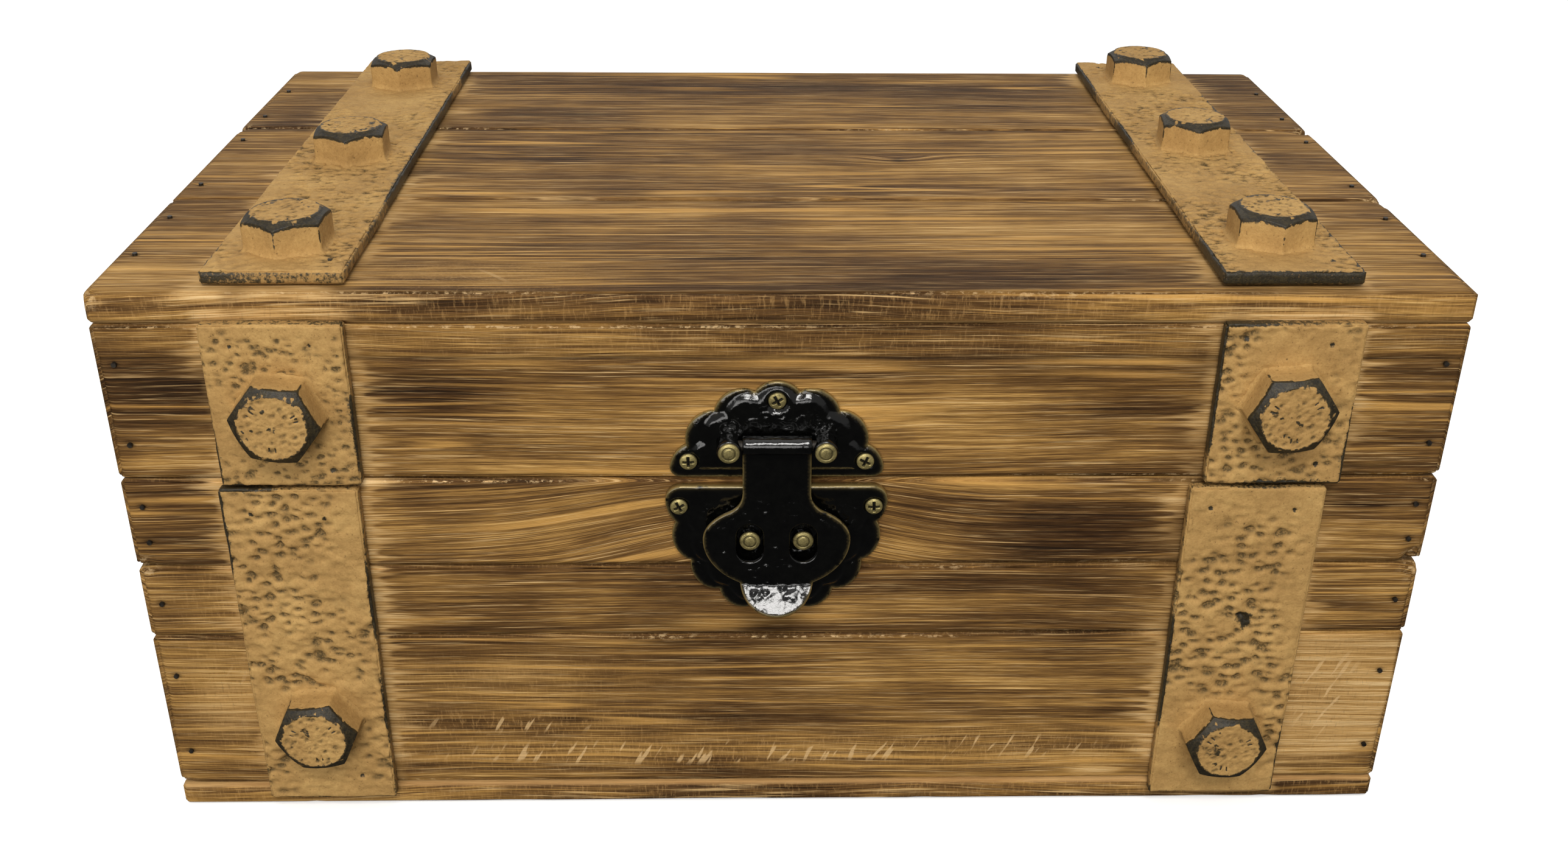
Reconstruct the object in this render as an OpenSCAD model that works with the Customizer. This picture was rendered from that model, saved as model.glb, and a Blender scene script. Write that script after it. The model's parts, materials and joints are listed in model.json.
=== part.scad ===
// Rustic wooden keepsake chest: planked box, hinged lid, iron-look straps with
// hex bolts, and a scalloped hasp latch. Millimetres, +Z up, front towards -Y.
// The origin is on the underside, at the centre of the wooden box.

/* [Box] */
// Width of the wooden box, left to right
box_w = 320; // [300:5:360]
// Depth of the wooden box, front to back
box_d = 194; // [180:2:220]
// Height of the wooden box with its lid closed
box_h = 148.5; // [145:0.5:155]
// Thickness of the front, rear and end planks
wall_t = 9; // [8:0.5:12]
// Thickness of the lid's top planks
top_t = 8.4; // [7:0.2:9]
// Thickness of the base board
base_t = 7; // [6:0.5:8]
// Bevel along each plank's outer edges
plank_bevel = 0.7; // [0.4:0.1:1.2]

/* [Seams] */
// Height of the seam between the lower and the middle plank
lower_seam_z = 54; // [50:0.5:58]
// Height of the seam between the middle and the upper plank
upper_seam_z = 74.7; // [72:0.1:77]
// Height of the seam between the body and the lid
lid_seam_z = 99.6; // [98:0.1:101]
// Open gap between the body's rim and the closed lid
lid_gap = 0.2; // [0.1:0.1:0.6]
// Depth from the front at which the front and middle top planks meet
top_seam_1 = 64.5; // [60:0.5:68]
// Depth from the front at which the middle and rear top planks meet
top_seam_2 = 128; // [124:0.5:132]

/* [Straps and bolts] */
// Width of a strap
strap_w = 33.6; // [30:0.2:36]
// Thickness of a strap
strap_t = 4; // [3:0.5:5]
// Distance of the strap centres from the middle of the box
strap_x = 117.4; // [110:0.2:122]
// Sideways offset of the left body strap from the strap above it
left_body_shift = -1.4; // [-3:0.1:3]
// Sideways offset of the right body strap from the strap above it
right_body_shift = -2.7; // [-3:0.1:3]
// Width of a hex bolt head across its corners
bolt_corners = 21.3; // [18:0.1:23]
// Height of a hex bolt head above its strap
bolt_head_h = 8; // [6:0.5:9]
// Diameter of the peg under a bolt head
bolt_peg_d = 8; // [5:0.5:10]

/* [Latch] */
// Sideways place of the latch's centre line
latch_x = -2; // [-10:1:10]
// Sheet thickness of the latch plates
plate_t = 1.2; // [0.8:0.2:1.2]
// Height of the raised field on each latch plate
field_t = 0.8; // [0.4:0.2:0.8]
// Sheet thickness of the hasp
hasp_t = 1.2; // [1:0.1:1.2]
// Height of the hasp pin
hasp_pin_z = 111.5; // [110:0.5:113]
// Distance of the hasp pin from the front of the box
hasp_pin_out = 5.2; // [5.2:0.1:5.6]
// Angle at which the hasp hangs off the lower plate
hasp_hang = 3.9; // [3.5:0.1:4.5]

/* [Hinges] */
// Distance of the hinge centres from the middle of the box
hinge_x = 95; // [60:5:110]
// Width of a hinge
hinge_w = 30; // [24:2:36]
// Height of each hinge leaf
hinge_leaf_h = 20; // [16:1:24]
// Sheet thickness of the hinge leaves
hinge_leaf_t = 1.2; // [1:0.1:1.4]
// Distance of the hinge pin from the rear of the box
hinge_out = 2.5; // [2.5:0.1:3]
// Angle at which the lid leaf lands on the hinge's stop
lid_open_angle = 100; // [95:1:105]

/* [Hidden] */
$fn = 48;

// small overrun of a cut past the face that it opens
cut = 1;

// where the planks start and end
front_y = -box_d / 2;
rear_y = box_d / 2;
lid_underside_z = box_h - top_t;
lid_bottom_z = lid_seam_z + lid_gap / 2;
body_rim_z = lid_seam_z - lid_gap / 2;
inner_d = box_d - 2 * wall_t;

// the body's three courses of planks, each [bottom, top]
lower_course = [base_t, lower_seam_z];
middle_course = [lower_seam_z, upper_seam_z];
upper_course = [upper_seam_z, body_rim_z];
lid_course = [lid_bottom_z, lid_underside_z];

// straps: bevel, and the ends of each run
strap_bevel = 0.6;
strap_foot_z = 5;
strap_rim_gap = 0.4;
lid_strap_top_z = 142;
top_strap_front_gap = 2.8;
top_strap_rear_gap = 1;
body_strap_z = [strap_foot_z, body_rim_z - strap_rim_gap];
lid_strap_z = [lid_bottom_z, lid_strap_top_z];
top_strap_y = [front_y + top_strap_front_gap, rear_y - top_strap_rear_gap];
left_body_x = -strap_x + left_body_shift;
right_body_x = strap_x + right_body_shift;

// bolts: the chamfer round a head, clearance of a strap's hole, how far a peg bites
// into the wood, and each bolt's place with its turn about its own axis
bolt_chamfer_h = 1;
bolt_chamfer_top_r = bolt_corners / 2 * 0.9;
bolt_chamfer_foot_r = bolt_corners / 2 + 0.4;
bolt_hole_gap = 0.1;
bolt_bite = 5;
body_bolt_z = [30.5, 25.7];
lid_bolt_z = [119.6, 121.6];
body_bolt_turn = [6, -4];
lid_bolt_turn = [-7, 5];
left_top_bolt_y = [front_y + 21, front_y + 90, front_y + 165];
right_top_bolt_y = [front_y + 25, front_y + 101, front_y + 173];
left_top_bolt_turn = [27, 33, 30];
right_top_bolt_turn = [30, 24, 31];

// latch plates: each outline is a scalloped ellipse cut by a straight edge
lobe_out = 0.08;
outline_steps = 120;
field_scale = 0.84;
upper_plate_edge_z = 100.6;
upper_oval = [24.4, 26.9];
upper_oval_z = 96.9;
upper_lobe_angle = 25;
lower_plate_edge_z = 98.7;
lower_oval = [24.9, 29.4];
lower_oval_z = 93.2;
lower_lobe_angle = 22.9;
upper_screw_places = [[0, 121.4], [-21.2, 105.2], [21.2, 105.2]];
lower_screw_places = [[-23.7, 92.8], [23.7, 92.8]];

// latch posts, which carry the pin and the studs
post_r = 2.9;
post_x = 11.4;
post_z = hasp_pin_z - 0.8;
post_out = 7.4;
rivet_r = 2.6;
rivet_head_h = 1;
rivet_shank_r = 1.2;
rivet_shank_h = 0.8;
stud_r = 2.55;
stud_x = 6.5;
stud_z = 84.5;
stud_out = 4.6;
stud_post_r = 2.3;
stud_shank_h = 1.6;
fit_gap = 0.05;

// hasp, measured down from its pin with the flap parallel to the plates
pin_r = 1.2;
hasp_pin_half = 13.4;
barrel_r = 2.3;
barrel_half = 8.2;
flap_back = 1.7 + hasp_t / 2;
neck_half = 8.2;
neck_end = 12;
oval_half_w = 17.9;
oval_half_h = 14.2;
oval_drop = 25.4;
oval_steps = 16;
flare_steps = 8;
slot_half_w = 3.35;
slot_half_h = 5.2;
slot_drop = 26.5;
lip_half_w = 8.8;
lip_drop = 38.4;
lip_length = 8.2;
lip_angle = 38;

// screws and brads
screw_head_r = 2.15;
screw_head_h = 0.9;
screw_shank_r = 1.2;
screw_bite = 7;
plate_hole_r = 1.4;
hinge_screw_x = 9;
hinge_screw_drop = 14;
brad_r = 0.6;
brad_length = 18;
brad_inset = wall_t / 2;
body_brad_z = [18, 42, 64, 82, 92];
lid_brad_z = [109, 130];
top_brad_depths = [24, 50, 76, 116, 140, 168];

// hinges: axis, knuckles and the horns that stop the lid
hinge_pin_r = 1.2;
knuckle_r = 2.4;
knuckle_gap = 0.3;
leaf_clear = 3;
horn_reach = 7.1;
horn_root = 3.4;
horn_foot = 10;
horn_start = 1.8;
horn_tip_h = 1.4;
horn_gap = 0.1;
horn_w = 6;
web_overlap = 0.5;
hinge_y = rear_y + hinge_out;

// A plank along X. Its outer face is at y = 0 and faces -Y, with bevelled edges.
module plank(length, high, thick)
    rotate([90, 0, 90])
        linear_extrude(length, center = true)
            polygon([
                [0, plank_bevel], [plank_bevel, 0], [thick, 0],
                [thick, high], [plank_bevel, high], [0, high - plank_bevel]]);

// Planks of one course, on each side of the box
module front_plank(course)
    translate([0, front_y, course[0]]) plank(box_w, course[1] - course[0], wall_t);
module rear_plank(course) rotate([0, 0, 180]) front_plank(course);
module left_plank(course)
    translate([-box_w / 2, 0, course[0]])
        rotate([0, 0, -90]) plank(inner_d, course[1] - course[0], wall_t);
module right_plank(course) rotate([0, 0, 180]) left_plank(course);

// A plank of the lid's top, between two depths measured from the front
module top_plank(from, to)
    translate([0, front_y + from, box_h])
        rotate([-90, 0, 0]) plank(box_w, to - from, top_t);

// A strap along Z from a to b. Its back is at y = 0 and its face looks to -Y.
module strap(a, b)
    translate([0, 0, a])
        linear_extrude(b - a)
            polygon([
                [-strap_w / 2, 0], [-strap_w / 2, strap_bevel - strap_t],
                [strap_bevel - strap_w / 2, -strap_t],
                [strap_w / 2 - strap_bevel, -strap_t],
                [strap_w / 2, strap_bevel - strap_t], [strap_w / 2, 0]]);

// A hole for a bolt's peg through a strap at height z
module strap_hole(z)
    translate([0, cut, z])
        rotate([90, 0, 0])
            cylinder(h = strap_t + 2 * cut, d = bolt_peg_d + 2 * bolt_hole_gap);

// A strap on the front of the box, with one bolt hole
module front_strap(x, run, bolt_z)
    color("peru")
        translate([x, front_y, 0])
            difference() {
                strap(run[0], run[1]);
                strap_hole(bolt_z);
            }

// A strap along the lid's top, with a hole for each bolt
module top_strap(x, bolt_ys)
    color("peru")
        translate([x, 0, box_h])
            rotate([-90, 0, 0])
                difference() {
                    strap(top_strap_y[0], top_strap_y[1]);
                    for (y = bolt_ys) strap_hole(y);
                }

// A hex bolt head with a chamfered top, standing on z = 0 over its peg
module bolt(turn) {
    side_h = bolt_head_h - bolt_chamfer_h;
    rotate([0, 0, turn])
        intersection() {
            cylinder(h = bolt_head_h, d = bolt_corners, $fn = 6);
            union() {
                translate([0, 0, side_h])
                    cylinder(h = bolt_chamfer_h, r1 = bolt_chamfer_foot_r, r2 = bolt_chamfer_top_r);
                cylinder(h = side_h, r = bolt_chamfer_foot_r);
            }
        }
    translate([0, 0, -strap_t - bolt_bite])
        cylinder(h = strap_t + bolt_bite, d = bolt_peg_d);
}

// A bolt through a front strap, and a bolt through a top strap
module front_bolt(x, z, turn)
    translate([x, front_y - strap_t, z]) rotate([90, 0, 0]) bolt(turn);
module top_bolt(x, y, turn)
    translate([x, y, box_h + strap_t]) bolt(turn);

// Scalloped ellipse: lobes swell between notches that lie on the ellipse.
// One lobe is centred on the given angle.
module scallop(radii, lobe_angle, centre_angle, size)
    polygon([
        for (i = [0 : outline_steps - 1])
            let (
                a = 360 * i / outline_steps,
                swell = 1 + lobe_out * abs(cos(180 * (a - centre_angle) / lobe_angle)))
            [radii[0] * size * swell * cos(a), radii[1] * size * swell * sin(a)]]);

// The part of a 2D shape above or below a height
module above(z) intersection() {
    children();
    translate([-box_w / 2, z]) square([box_w, box_h]);
}
module below(z) intersection() {
    children();
    translate([-box_w / 2, z - box_h]) square([box_w, box_h]);
}

// Stands a 2D shape, drawn in x and z, on the front of the box
module on_front(out, thick)
    translate([latch_x, front_y - out, 0])
        rotate([90, 0, 0]) linear_extrude(thick) children();

module round_on_front(x, z, r, out, thick)
    on_front(out, thick) translate([x, z]) circle(r);

module upper_outline(size)
    above(upper_plate_edge_z)
        translate([0, upper_oval_z]) scallop(upper_oval, upper_lobe_angle, 90, size);
module lower_outline(size)
    below(lower_plate_edge_z)
        translate([0, lower_oval_z]) scallop(lower_oval, lower_lobe_angle, 270, size);

// A wood screw's head and shank on the front of the box
module front_screw(place) {
    round_on_front(place[0], place[1], screw_head_r, plate_t, screw_head_h);
    round_on_front(place[0], place[1], screw_shank_r, -screw_bite, screw_bite + plate_t);
}

// Holes through a plate, each with a seat for its screw's head in the raised field
module screw_holes(places)
    for (p = places) {
        round_on_front(p[0], p[1], plate_hole_r, -cut, plate_t + 2 * cut);
        round_on_front(p[0], p[1], screw_head_r + fit_gap, plate_t, field_t + cut);
    }

// Outline of the hasp's flap in its own frame, with x across and y up from the pin
function flare(t) = neck_half + (oval_half_w - neck_half) * (1 - cos(180 * t)) / 2;
flare_drop = oval_drop - neck_end;
flap_right = concat(
    [[neck_half, -barrel_r]],
    [for (i = [0 : flare_steps])
        [flare(i / flare_steps), -neck_end - flare_drop * i / flare_steps]],
    [for (i = [1 : oval_steps])
        let (a = -90 * i / oval_steps)
        [oval_half_w * cos(a), -oval_drop + oval_half_h * sin(a)]]);
flap_left = [for (i = [len(flap_right) - 2 : -1 : 0]) [-flap_right[i][0], flap_right[i][1]]];

module slot_2d()
    for (side = [-1, 1])
        translate([side * stud_x, -slot_drop])
            union() {
                square([2 * slot_half_w, 2 * (slot_half_h - slot_half_w)], center = true);
                for (end = [-1, 1])
                    translate([0, end * (slot_half_h - slot_half_w)]) circle(slot_half_w);
            }

// The half disc at the flap's lower end, bent outwards
module lip()
    translate([0, flap_back, -lip_drop])
        rotate([-lip_angle, 0, 0])
            rotate([90, 0, 0])
                linear_extrude(hasp_t)
                    intersection() {
                        scale([1, lip_length / lip_half_w]) circle(lip_half_w);
                        translate([-lip_half_w, -2 * lip_half_w])
                            square([2 * lip_half_w, 2 * lip_half_w]);
                    }

module hasp()
    color("dimgray")
        translate([latch_x, front_y - hasp_pin_out, hasp_pin_z])
            rotate([-hasp_hang, 0, 0])
                difference() {
                    union() {
                        rotate([0, 90, 0])
                            cylinder(h = 2 * barrel_half, r = barrel_r, center = true);
                        translate([0, flap_back, 0])
                            rotate([90, 0, 0])
                                linear_extrude(hasp_t)
                                    difference() {
                                        union() {
                                            polygon(concat(flap_right, flap_left));
                                            translate([-neck_half, -barrel_r])
                                                square([2 * neck_half, barrel_r]);
                                        }
                                        slot_2d();
                                    }
                        lip();
                    }
                    rotate([0, 90, 0])
                        cylinder(h = 2 * barrel_half + 2 * cut, r = pin_r + fit_gap, center = true);
                }

module latch_upper_plate()
    color("black")
        difference() {
            union() {
                on_front(0, plate_t) upper_outline(1);
                on_front(plate_t, field_t) upper_outline(field_scale);
                for (side = [-1, 1])
                    round_on_front(side * post_x, post_z, post_r, 0, post_out);
            }
            screw_holes(upper_screw_places);
            translate([latch_x, front_y - hasp_pin_out, hasp_pin_z])
                rotate([0, 90, 0])
                    cylinder(h = 2 * hasp_pin_half, r = pin_r, center = true);
            for (side = [-1, 1])
                round_on_front(side * post_x, post_z, rivet_shank_r,
                    post_out - rivet_shank_h, rivet_shank_h + cut);
        }

module latch_lower_plate()
    color("black")
        difference() {
            union() {
                on_front(0, plate_t) lower_outline(1);
                on_front(plate_t, field_t) lower_outline(field_scale);
                for (side = [-1, 1])
                    round_on_front(side * stud_x, stud_z, stud_post_r, 0, stud_out - rivet_head_h);
            }
            screw_holes(lower_screw_places);
            for (side = [-1, 1])
                round_on_front(side * stud_x, stud_z, rivet_shank_r,
                    stud_out - rivet_head_h - stud_shank_h, stud_shank_h + cut);
        }

// A round head on a short shank, standing on a post of the given height
module headed_pin(x, z, head_r, out, shank_h) {
    round_on_front(x, z, head_r, out, rivet_head_h);
    round_on_front(x, z, rivet_shank_r, out - shank_h, shank_h);
}

module latch_studs()
    color("darkkhaki")
        for (side = [-1, 1])
            headed_pin(side * stud_x, stud_z, stud_r, stud_out - rivet_head_h, stud_shank_h);

module hasp_rivets()
    color("darkkhaki")
        for (side = [-1, 1])
            headed_pin(side * post_x, post_z, rivet_r, post_out, rivet_shank_h);

module hasp_pin()
    color("dimgray")
        translate([latch_x, front_y - hasp_pin_out, hasp_pin_z])
            rotate([0, 90, 0])
                cylinder(h = 2 * hasp_pin_half, r = pin_r, center = true);

module latch_upper_screws()
    color("darkkhaki") for (p = upper_screw_places) front_screw(p);
module latch_lower_screws()
    color("darkkhaki") for (p = lower_screw_places) front_screw(p);

// Puts a hinge piece at its hinge, with the pin along X through its origin
module at_hinge(side) translate([side * hinge_x, hinge_y, lid_seam_z]) children();

// A run of hinge along X, between two distances from the hinge's centre
module along_hinge(from, to)
    translate([from, 0, 0]) rotate([90, 0, 90]) linear_extrude(to - from) children();

knuckle_third = hinge_w / 6;
leaf_inner_y = -hinge_out;
leaf_outer_y = leaf_inner_y + hinge_leaf_t;

// A flat leaf above the pin, with two screw holes
module leaf_plate()
    difference() {
        along_hinge(-hinge_w / 2, hinge_w / 2)
            translate([leaf_inner_y, leaf_clear])
                square([hinge_leaf_t, hinge_leaf_h]);
        for (side = [-1, 1])
            translate([side * hinge_screw_x, leaf_inner_y - cut, hinge_screw_drop])
                rotate([-90, 0, 0]) cylinder(h = hinge_leaf_t + 2 * cut, r = plate_hole_r);
    }

// A knuckle with the web that joins it to a leaf above the pin
module knuckle(from, to)
    along_hinge(from, to) {
        circle(knuckle_r);
        translate([leaf_inner_y, 0]) square([hinge_leaf_t, leaf_clear + web_overlap]);
    }

module pin_bore(r)
    rotate([0, 90, 0]) cylinder(h = hinge_w + 2 * cut, r = r, center = true);

module lid_leaf(side)
    color("darkgoldenrod")
        at_hinge(side)
            difference() {
                union() {
                    leaf_plate();
                    knuckle(knuckle_gap - knuckle_third, knuckle_third - knuckle_gap);
                }
                pin_bore(hinge_pin_r + fit_gap);
            }

// Height of the lid leaf's landing face at a distance behind the pin, lid open
function landing(y) =
    -leaf_outer_y * (sin(lid_open_angle) + pow(cos(lid_open_angle), 2) / sin(lid_open_angle))
    + y * cos(lid_open_angle) / sin(lid_open_angle) - horn_gap;

module body_leaf(side)
    color("darkgoldenrod")
        at_hinge(side)
            difference() {
                union() {
                    mirror([0, 0, 1]) {
                        leaf_plate();
                        knuckle(-hinge_w / 2, -knuckle_third);
                        knuckle(knuckle_third, hinge_w / 2);
                    }
                    for (end = [-1, 1])
                        translate([end * (hinge_w / 2 - horn_w / 2), 0, 0])
                            along_hinge(-horn_w / 2, horn_w / 2)
                                polygon([
                                    [leaf_outer_y, -horn_foot], [leaf_outer_y, -horn_start],
                                    [horn_root, landing(horn_root)],
                                    [horn_reach, landing(horn_reach)],
                                    [horn_reach, landing(horn_reach) - horn_tip_h]]);
                }
                pin_bore(hinge_pin_r);
            }

module hinge_pins()
    color("goldenrod")
        for (side = [-1, 1])
            at_hinge(side)
                rotate([0, 90, 0]) cylinder(h = hinge_w, r = hinge_pin_r, center = true);

// The two screws of each leaf, above or below the pin
module hinge_screws(up)
    color("goldenrod")
        for (side = [-1, 1], place = [-1, 1])
            at_hinge(side)
                translate([place * hinge_screw_x, leaf_outer_y, up * hinge_screw_drop])
                    rotate([-90, 0, 0]) {
                        cylinder(h = screw_head_h, r = screw_head_r);
                        translate([0, 0, -hinge_leaf_t - screw_bite])
                            cylinder(h = hinge_leaf_t + screw_bite, r = screw_shank_r);
                    }

// Brads driven through the front and rear planks into the end planks
module course_brads(heights)
    for (z = heights, side = [-1, 1], face = [0, 180])
        rotate([0, 0, face])
            translate([side * (box_w / 2 - brad_inset), front_y, z])
                rotate([-90, 0, 0]) cylinder(h = brad_length, r = brad_r);

// Brads driven down through the top planks into the lid's end boards
module top_brads(depths)
    for (depth = depths, side = [-1, 1])
        translate([side * (box_w / 2 - brad_inset), front_y + depth, box_h - brad_length])
            cylinder(h = brad_length, r = brad_r);

module body_brads() color("dimgray") course_brads(body_brad_z);
module lid_brads() color("dimgray") {
    course_brads(lid_brad_z);
    top_brads(top_brad_depths);
}

module base_board()
    color("saddlebrown")
        translate([-box_w / 2, front_y, 0]) cube([box_w, box_d, base_t]);

module body_strap_bolts()
    color("tan") {
        front_bolt(left_body_x, body_bolt_z[0], body_bolt_turn[0]);
        front_bolt(right_body_x, body_bolt_z[1], body_bolt_turn[1]);
    }
module lid_strap_bolts()
    color("tan") {
        front_bolt(-strap_x, lid_bolt_z[0], lid_bolt_turn[0]);
        front_bolt(strap_x, lid_bolt_z[1], lid_bolt_turn[1]);
    }
module top_strap_bolts()
    color("tan")
        for (i = [0 : 2]) {
            top_bolt(-strap_x, left_top_bolt_y[i], left_top_bolt_turn[i]);
            top_bolt(strap_x, right_top_bolt_y[i], right_top_bolt_turn[i]);
        }

module wood() color("sienna") children();

base_board();
wood() front_plank(lower_course);  // front_lower_plank
wood() front_plank(middle_course);  // front_middle_plank
wood() front_plank(upper_course);  // front_upper_plank
wood() rear_plank(lower_course);  // rear_lower_plank
wood() rear_plank(middle_course);  // rear_middle_plank
wood() rear_plank(upper_course);  // rear_upper_plank
wood() left_plank(lower_course);  // left_lower_plank
wood() left_plank(middle_course);  // left_middle_plank
wood() left_plank(upper_course);  // left_upper_plank
wood() right_plank(lower_course);  // right_lower_plank
wood() right_plank(middle_course);  // right_middle_plank
wood() right_plank(upper_course);  // right_upper_plank
front_strap(left_body_x, body_strap_z, body_bolt_z[0]);  // left_body_strap
front_strap(right_body_x, body_strap_z, body_bolt_z[1]);  // right_body_strap
body_strap_bolts();
latch_lower_plate();
latch_studs();
latch_lower_screws();
body_leaf(-1);  // left_hinge_body_leaf
body_leaf(1);  // right_hinge_body_leaf
hinge_pins();
hinge_screws(-1);  // hinge_body_screws
body_brads();
wood() front_plank(lid_course);  // lid_front_board
wood() rear_plank(lid_course);  // lid_rear_board
wood() left_plank(lid_course);  // lid_left_board
wood() right_plank(lid_course);  // lid_right_board
wood() top_plank(0, top_seam_1);  // top_front_plank
wood() top_plank(top_seam_1, top_seam_2);  // top_middle_plank
wood() top_plank(top_seam_2, box_d);  // top_rear_plank
front_strap(-strap_x, lid_strap_z, lid_bolt_z[0]);  // left_lid_strap
front_strap(strap_x, lid_strap_z, lid_bolt_z[1]);  // right_lid_strap
lid_strap_bolts();
top_strap(-strap_x, left_top_bolt_y);  // left_top_strap
top_strap(strap_x, right_top_bolt_y);  // right_top_strap
top_strap_bolts();
latch_upper_plate();
latch_upper_screws();
hasp_rivets();
hasp_pin();
lid_leaf(-1);  // left_hinge_lid_leaf
lid_leaf(1);  // right_hinge_lid_leaf
hinge_screws(1);  // hinge_lid_screws
lid_brads();
hasp();
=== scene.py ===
"""Looks for the wooden keepsake chest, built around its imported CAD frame.

Lengths inside the mesh code are in millimetres and become metres in new_piece().
Every plank, strap, bolt and latch part is a detailed mesh that stands for its CAD node.
"""

import json
import math

import bmesh
import bpy
import numpy as np
from mathutils import Euler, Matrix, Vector
from mathutils.geometry import delaunay_2d_cdt


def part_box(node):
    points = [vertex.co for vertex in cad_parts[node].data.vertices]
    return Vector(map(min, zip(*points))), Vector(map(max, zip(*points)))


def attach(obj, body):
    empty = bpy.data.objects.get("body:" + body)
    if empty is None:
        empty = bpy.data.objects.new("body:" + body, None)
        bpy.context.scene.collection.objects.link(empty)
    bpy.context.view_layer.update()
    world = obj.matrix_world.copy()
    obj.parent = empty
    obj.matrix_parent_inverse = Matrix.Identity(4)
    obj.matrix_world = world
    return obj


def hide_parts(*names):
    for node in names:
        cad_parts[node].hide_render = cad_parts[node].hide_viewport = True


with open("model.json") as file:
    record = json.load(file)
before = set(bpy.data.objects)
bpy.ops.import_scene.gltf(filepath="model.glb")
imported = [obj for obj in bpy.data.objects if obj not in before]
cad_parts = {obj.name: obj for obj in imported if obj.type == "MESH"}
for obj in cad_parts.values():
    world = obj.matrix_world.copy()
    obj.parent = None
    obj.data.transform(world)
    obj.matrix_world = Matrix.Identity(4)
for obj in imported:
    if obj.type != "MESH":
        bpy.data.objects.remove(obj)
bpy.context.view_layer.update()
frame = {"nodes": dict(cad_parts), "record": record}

MM = 0.001
X, Y, Z = 0, 1, 2
BEHAVIOUR = frame["record"]["behaviour"]
BODY_OF = {node: body for body, nodes in BEHAVIOUR["bodies"].items() for node in nodes}


def node_box(node):
    """Lowest and highest corner of a CAD node, in millimetres."""
    low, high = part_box(node)
    return np.array(low) / MM, np.array(high) / MM


# ---------------------------------------------------------------- noise


def lattice(i, j, k, seed):
    """A fixed pseudo-random number from 0 to 1 for every lattice point."""
    h = (i * 374761393 + j * 668265263 + k * 2147483647 + seed * 1274126177) & 0xFFFFFFFF
    h = ((h ^ (h >> 13)) * 1274126177) & 0xFFFFFFFF
    h = ((h ^ (h >> 16)) * 2246822519) & 0xFFFFFFFF
    return ((h ^ (h >> 15)) & 0xFFFFFF) / float(0x1000000)


def noise(points, seed):
    """Smooth value noise from -1 to 1 at an (n, 3) array of points."""
    cell = np.floor(points).astype(np.int64)
    part = points - cell
    part = part * part * (3 - 2 * part)
    total = 0
    for di in (0, 1):
        for dj in (0, 1):
            for dk in (0, 1):
                weight = (
                    np.where(di, part[:, 0], 1 - part[:, 0])
                    * np.where(dj, part[:, 1], 1 - part[:, 1])
                    * np.where(dk, part[:, 2], 1 - part[:, 2])
                )
                corner = lattice(cell[:, 0] + di, cell[:, 1] + dj, cell[:, 2] + dk, seed)
                total = total + weight * corner
    return 2 * total - 1


def fractal(points, seed, octaves=3, gain=0.5):
    """Noise summed over octaves, kept within about -1 to 1."""
    total, size, reach = 0, 1.0, 0.0
    for octave in range(octaves):
        total = total + size * noise(points * 2.0**octave, seed + 17 * octave)
        reach += size
        size *= gain
    return total / reach


def stretched(points, *scales):
    """Points scaled by a factor for each direction."""
    return points * np.array(scales)


def smooth(value, low, high):
    """0 below low, 1 above high, smooth between."""
    t = np.clip((value - low) / (high - low), 0, 1)
    return t * t * (3 - 2 * t)


def rounded_fall(share):
    """How far a quarter round has fallen at a share of its radius: 1 at the edge, 0 where it ends."""
    return 1 - np.sqrt(np.clip(1 - (1 - np.clip(share, 0, 1)) ** 2, 0, 1))


def full_turn(count):
    """Evenly spaced angles all the way round."""
    return np.arange(count) * 2 * np.pi / count


def cells(u, v, size, seed):
    """Distance to the nearest of a field of scattered points, in cells, and that point's number."""
    cu, cv = np.floor(u / size).astype(np.int64), np.floor(v / size).astype(np.int64)
    best = np.full(u.shape, 9.0)
    number = np.zeros(u.shape)
    for di in (-1, 0, 1):
        for dj in (-1, 0, 1):
            i, j = cu + di, cv + dj
            zero = np.zeros_like(i)
            pu = (i + lattice(i, j, zero, seed)) * size
            pv = (j + lattice(i, j, zero + 1, seed)) * size
            distance = np.hypot(u - pu, v - pv) / size
            nearer = distance < best
            best = np.where(nearer, distance, best)
            number = np.where(nearer, lattice(i, j, zero + 2, seed), number)
    return best, number


# ---------------------------------------------------------------- meshes


CORNER_STEPS = 3


def face_outwards(mesh):
    """Turns every face of a closed mesh outwards."""
    shell = bmesh.new()
    shell.from_mesh(mesh)
    bmesh.ops.recalc_face_normals(shell, faces=shell.faces)
    shell.to_mesh(mesh)
    shell.free()


def add_object(name, data):
    """A new object, linked to the scene."""
    made = bpy.data.objects.new(name, data)
    bpy.context.scene.collection.objects.link(made)
    return made


def new_piece(name, verts, faces, material, node, **attributes):
    """Makes an object from millimetre points, with one attribute per keyword, in place of a CAD node."""
    mesh = bpy.data.meshes.new(name)
    mesh.from_pydata((np.asarray(verts) * MM).tolist(), [], [list(f) for f in faces])
    face_outwards(mesh)
    for key, values in attributes.items():
        values = np.asarray(values, float)
        kind = "FLOAT" if values.ndim == 1 else "FLOAT_VECTOR"
        layer = mesh.attributes.new(key, kind, "POINT")
        layer.data.foreach_set("value" if values.ndim == 1 else "vector", values.ravel())
    mesh.polygons.foreach_set("use_smooth", [True] * len(mesh.polygons))
    mesh.materials.append(material)
    mesh.update()
    piece = add_object(name, mesh)
    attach(piece, BODY_OF[node])
    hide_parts(node)


def stops(low, high, step, radius):
    """Places along one side of a box: close together in the rounded ends, evenly spaced between."""
    corner = radius * (1 - np.cos(np.linspace(0, np.pi / 2, CORNER_STEPS + 1)))
    count = int(round((high - low - 2 * radius) / step)) + 1
    middle = np.linspace(low + radius, high - radius, max(2, count))
    return np.concatenate([low + corner[:-1], middle, high - corner[:-1][::-1]])


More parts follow.
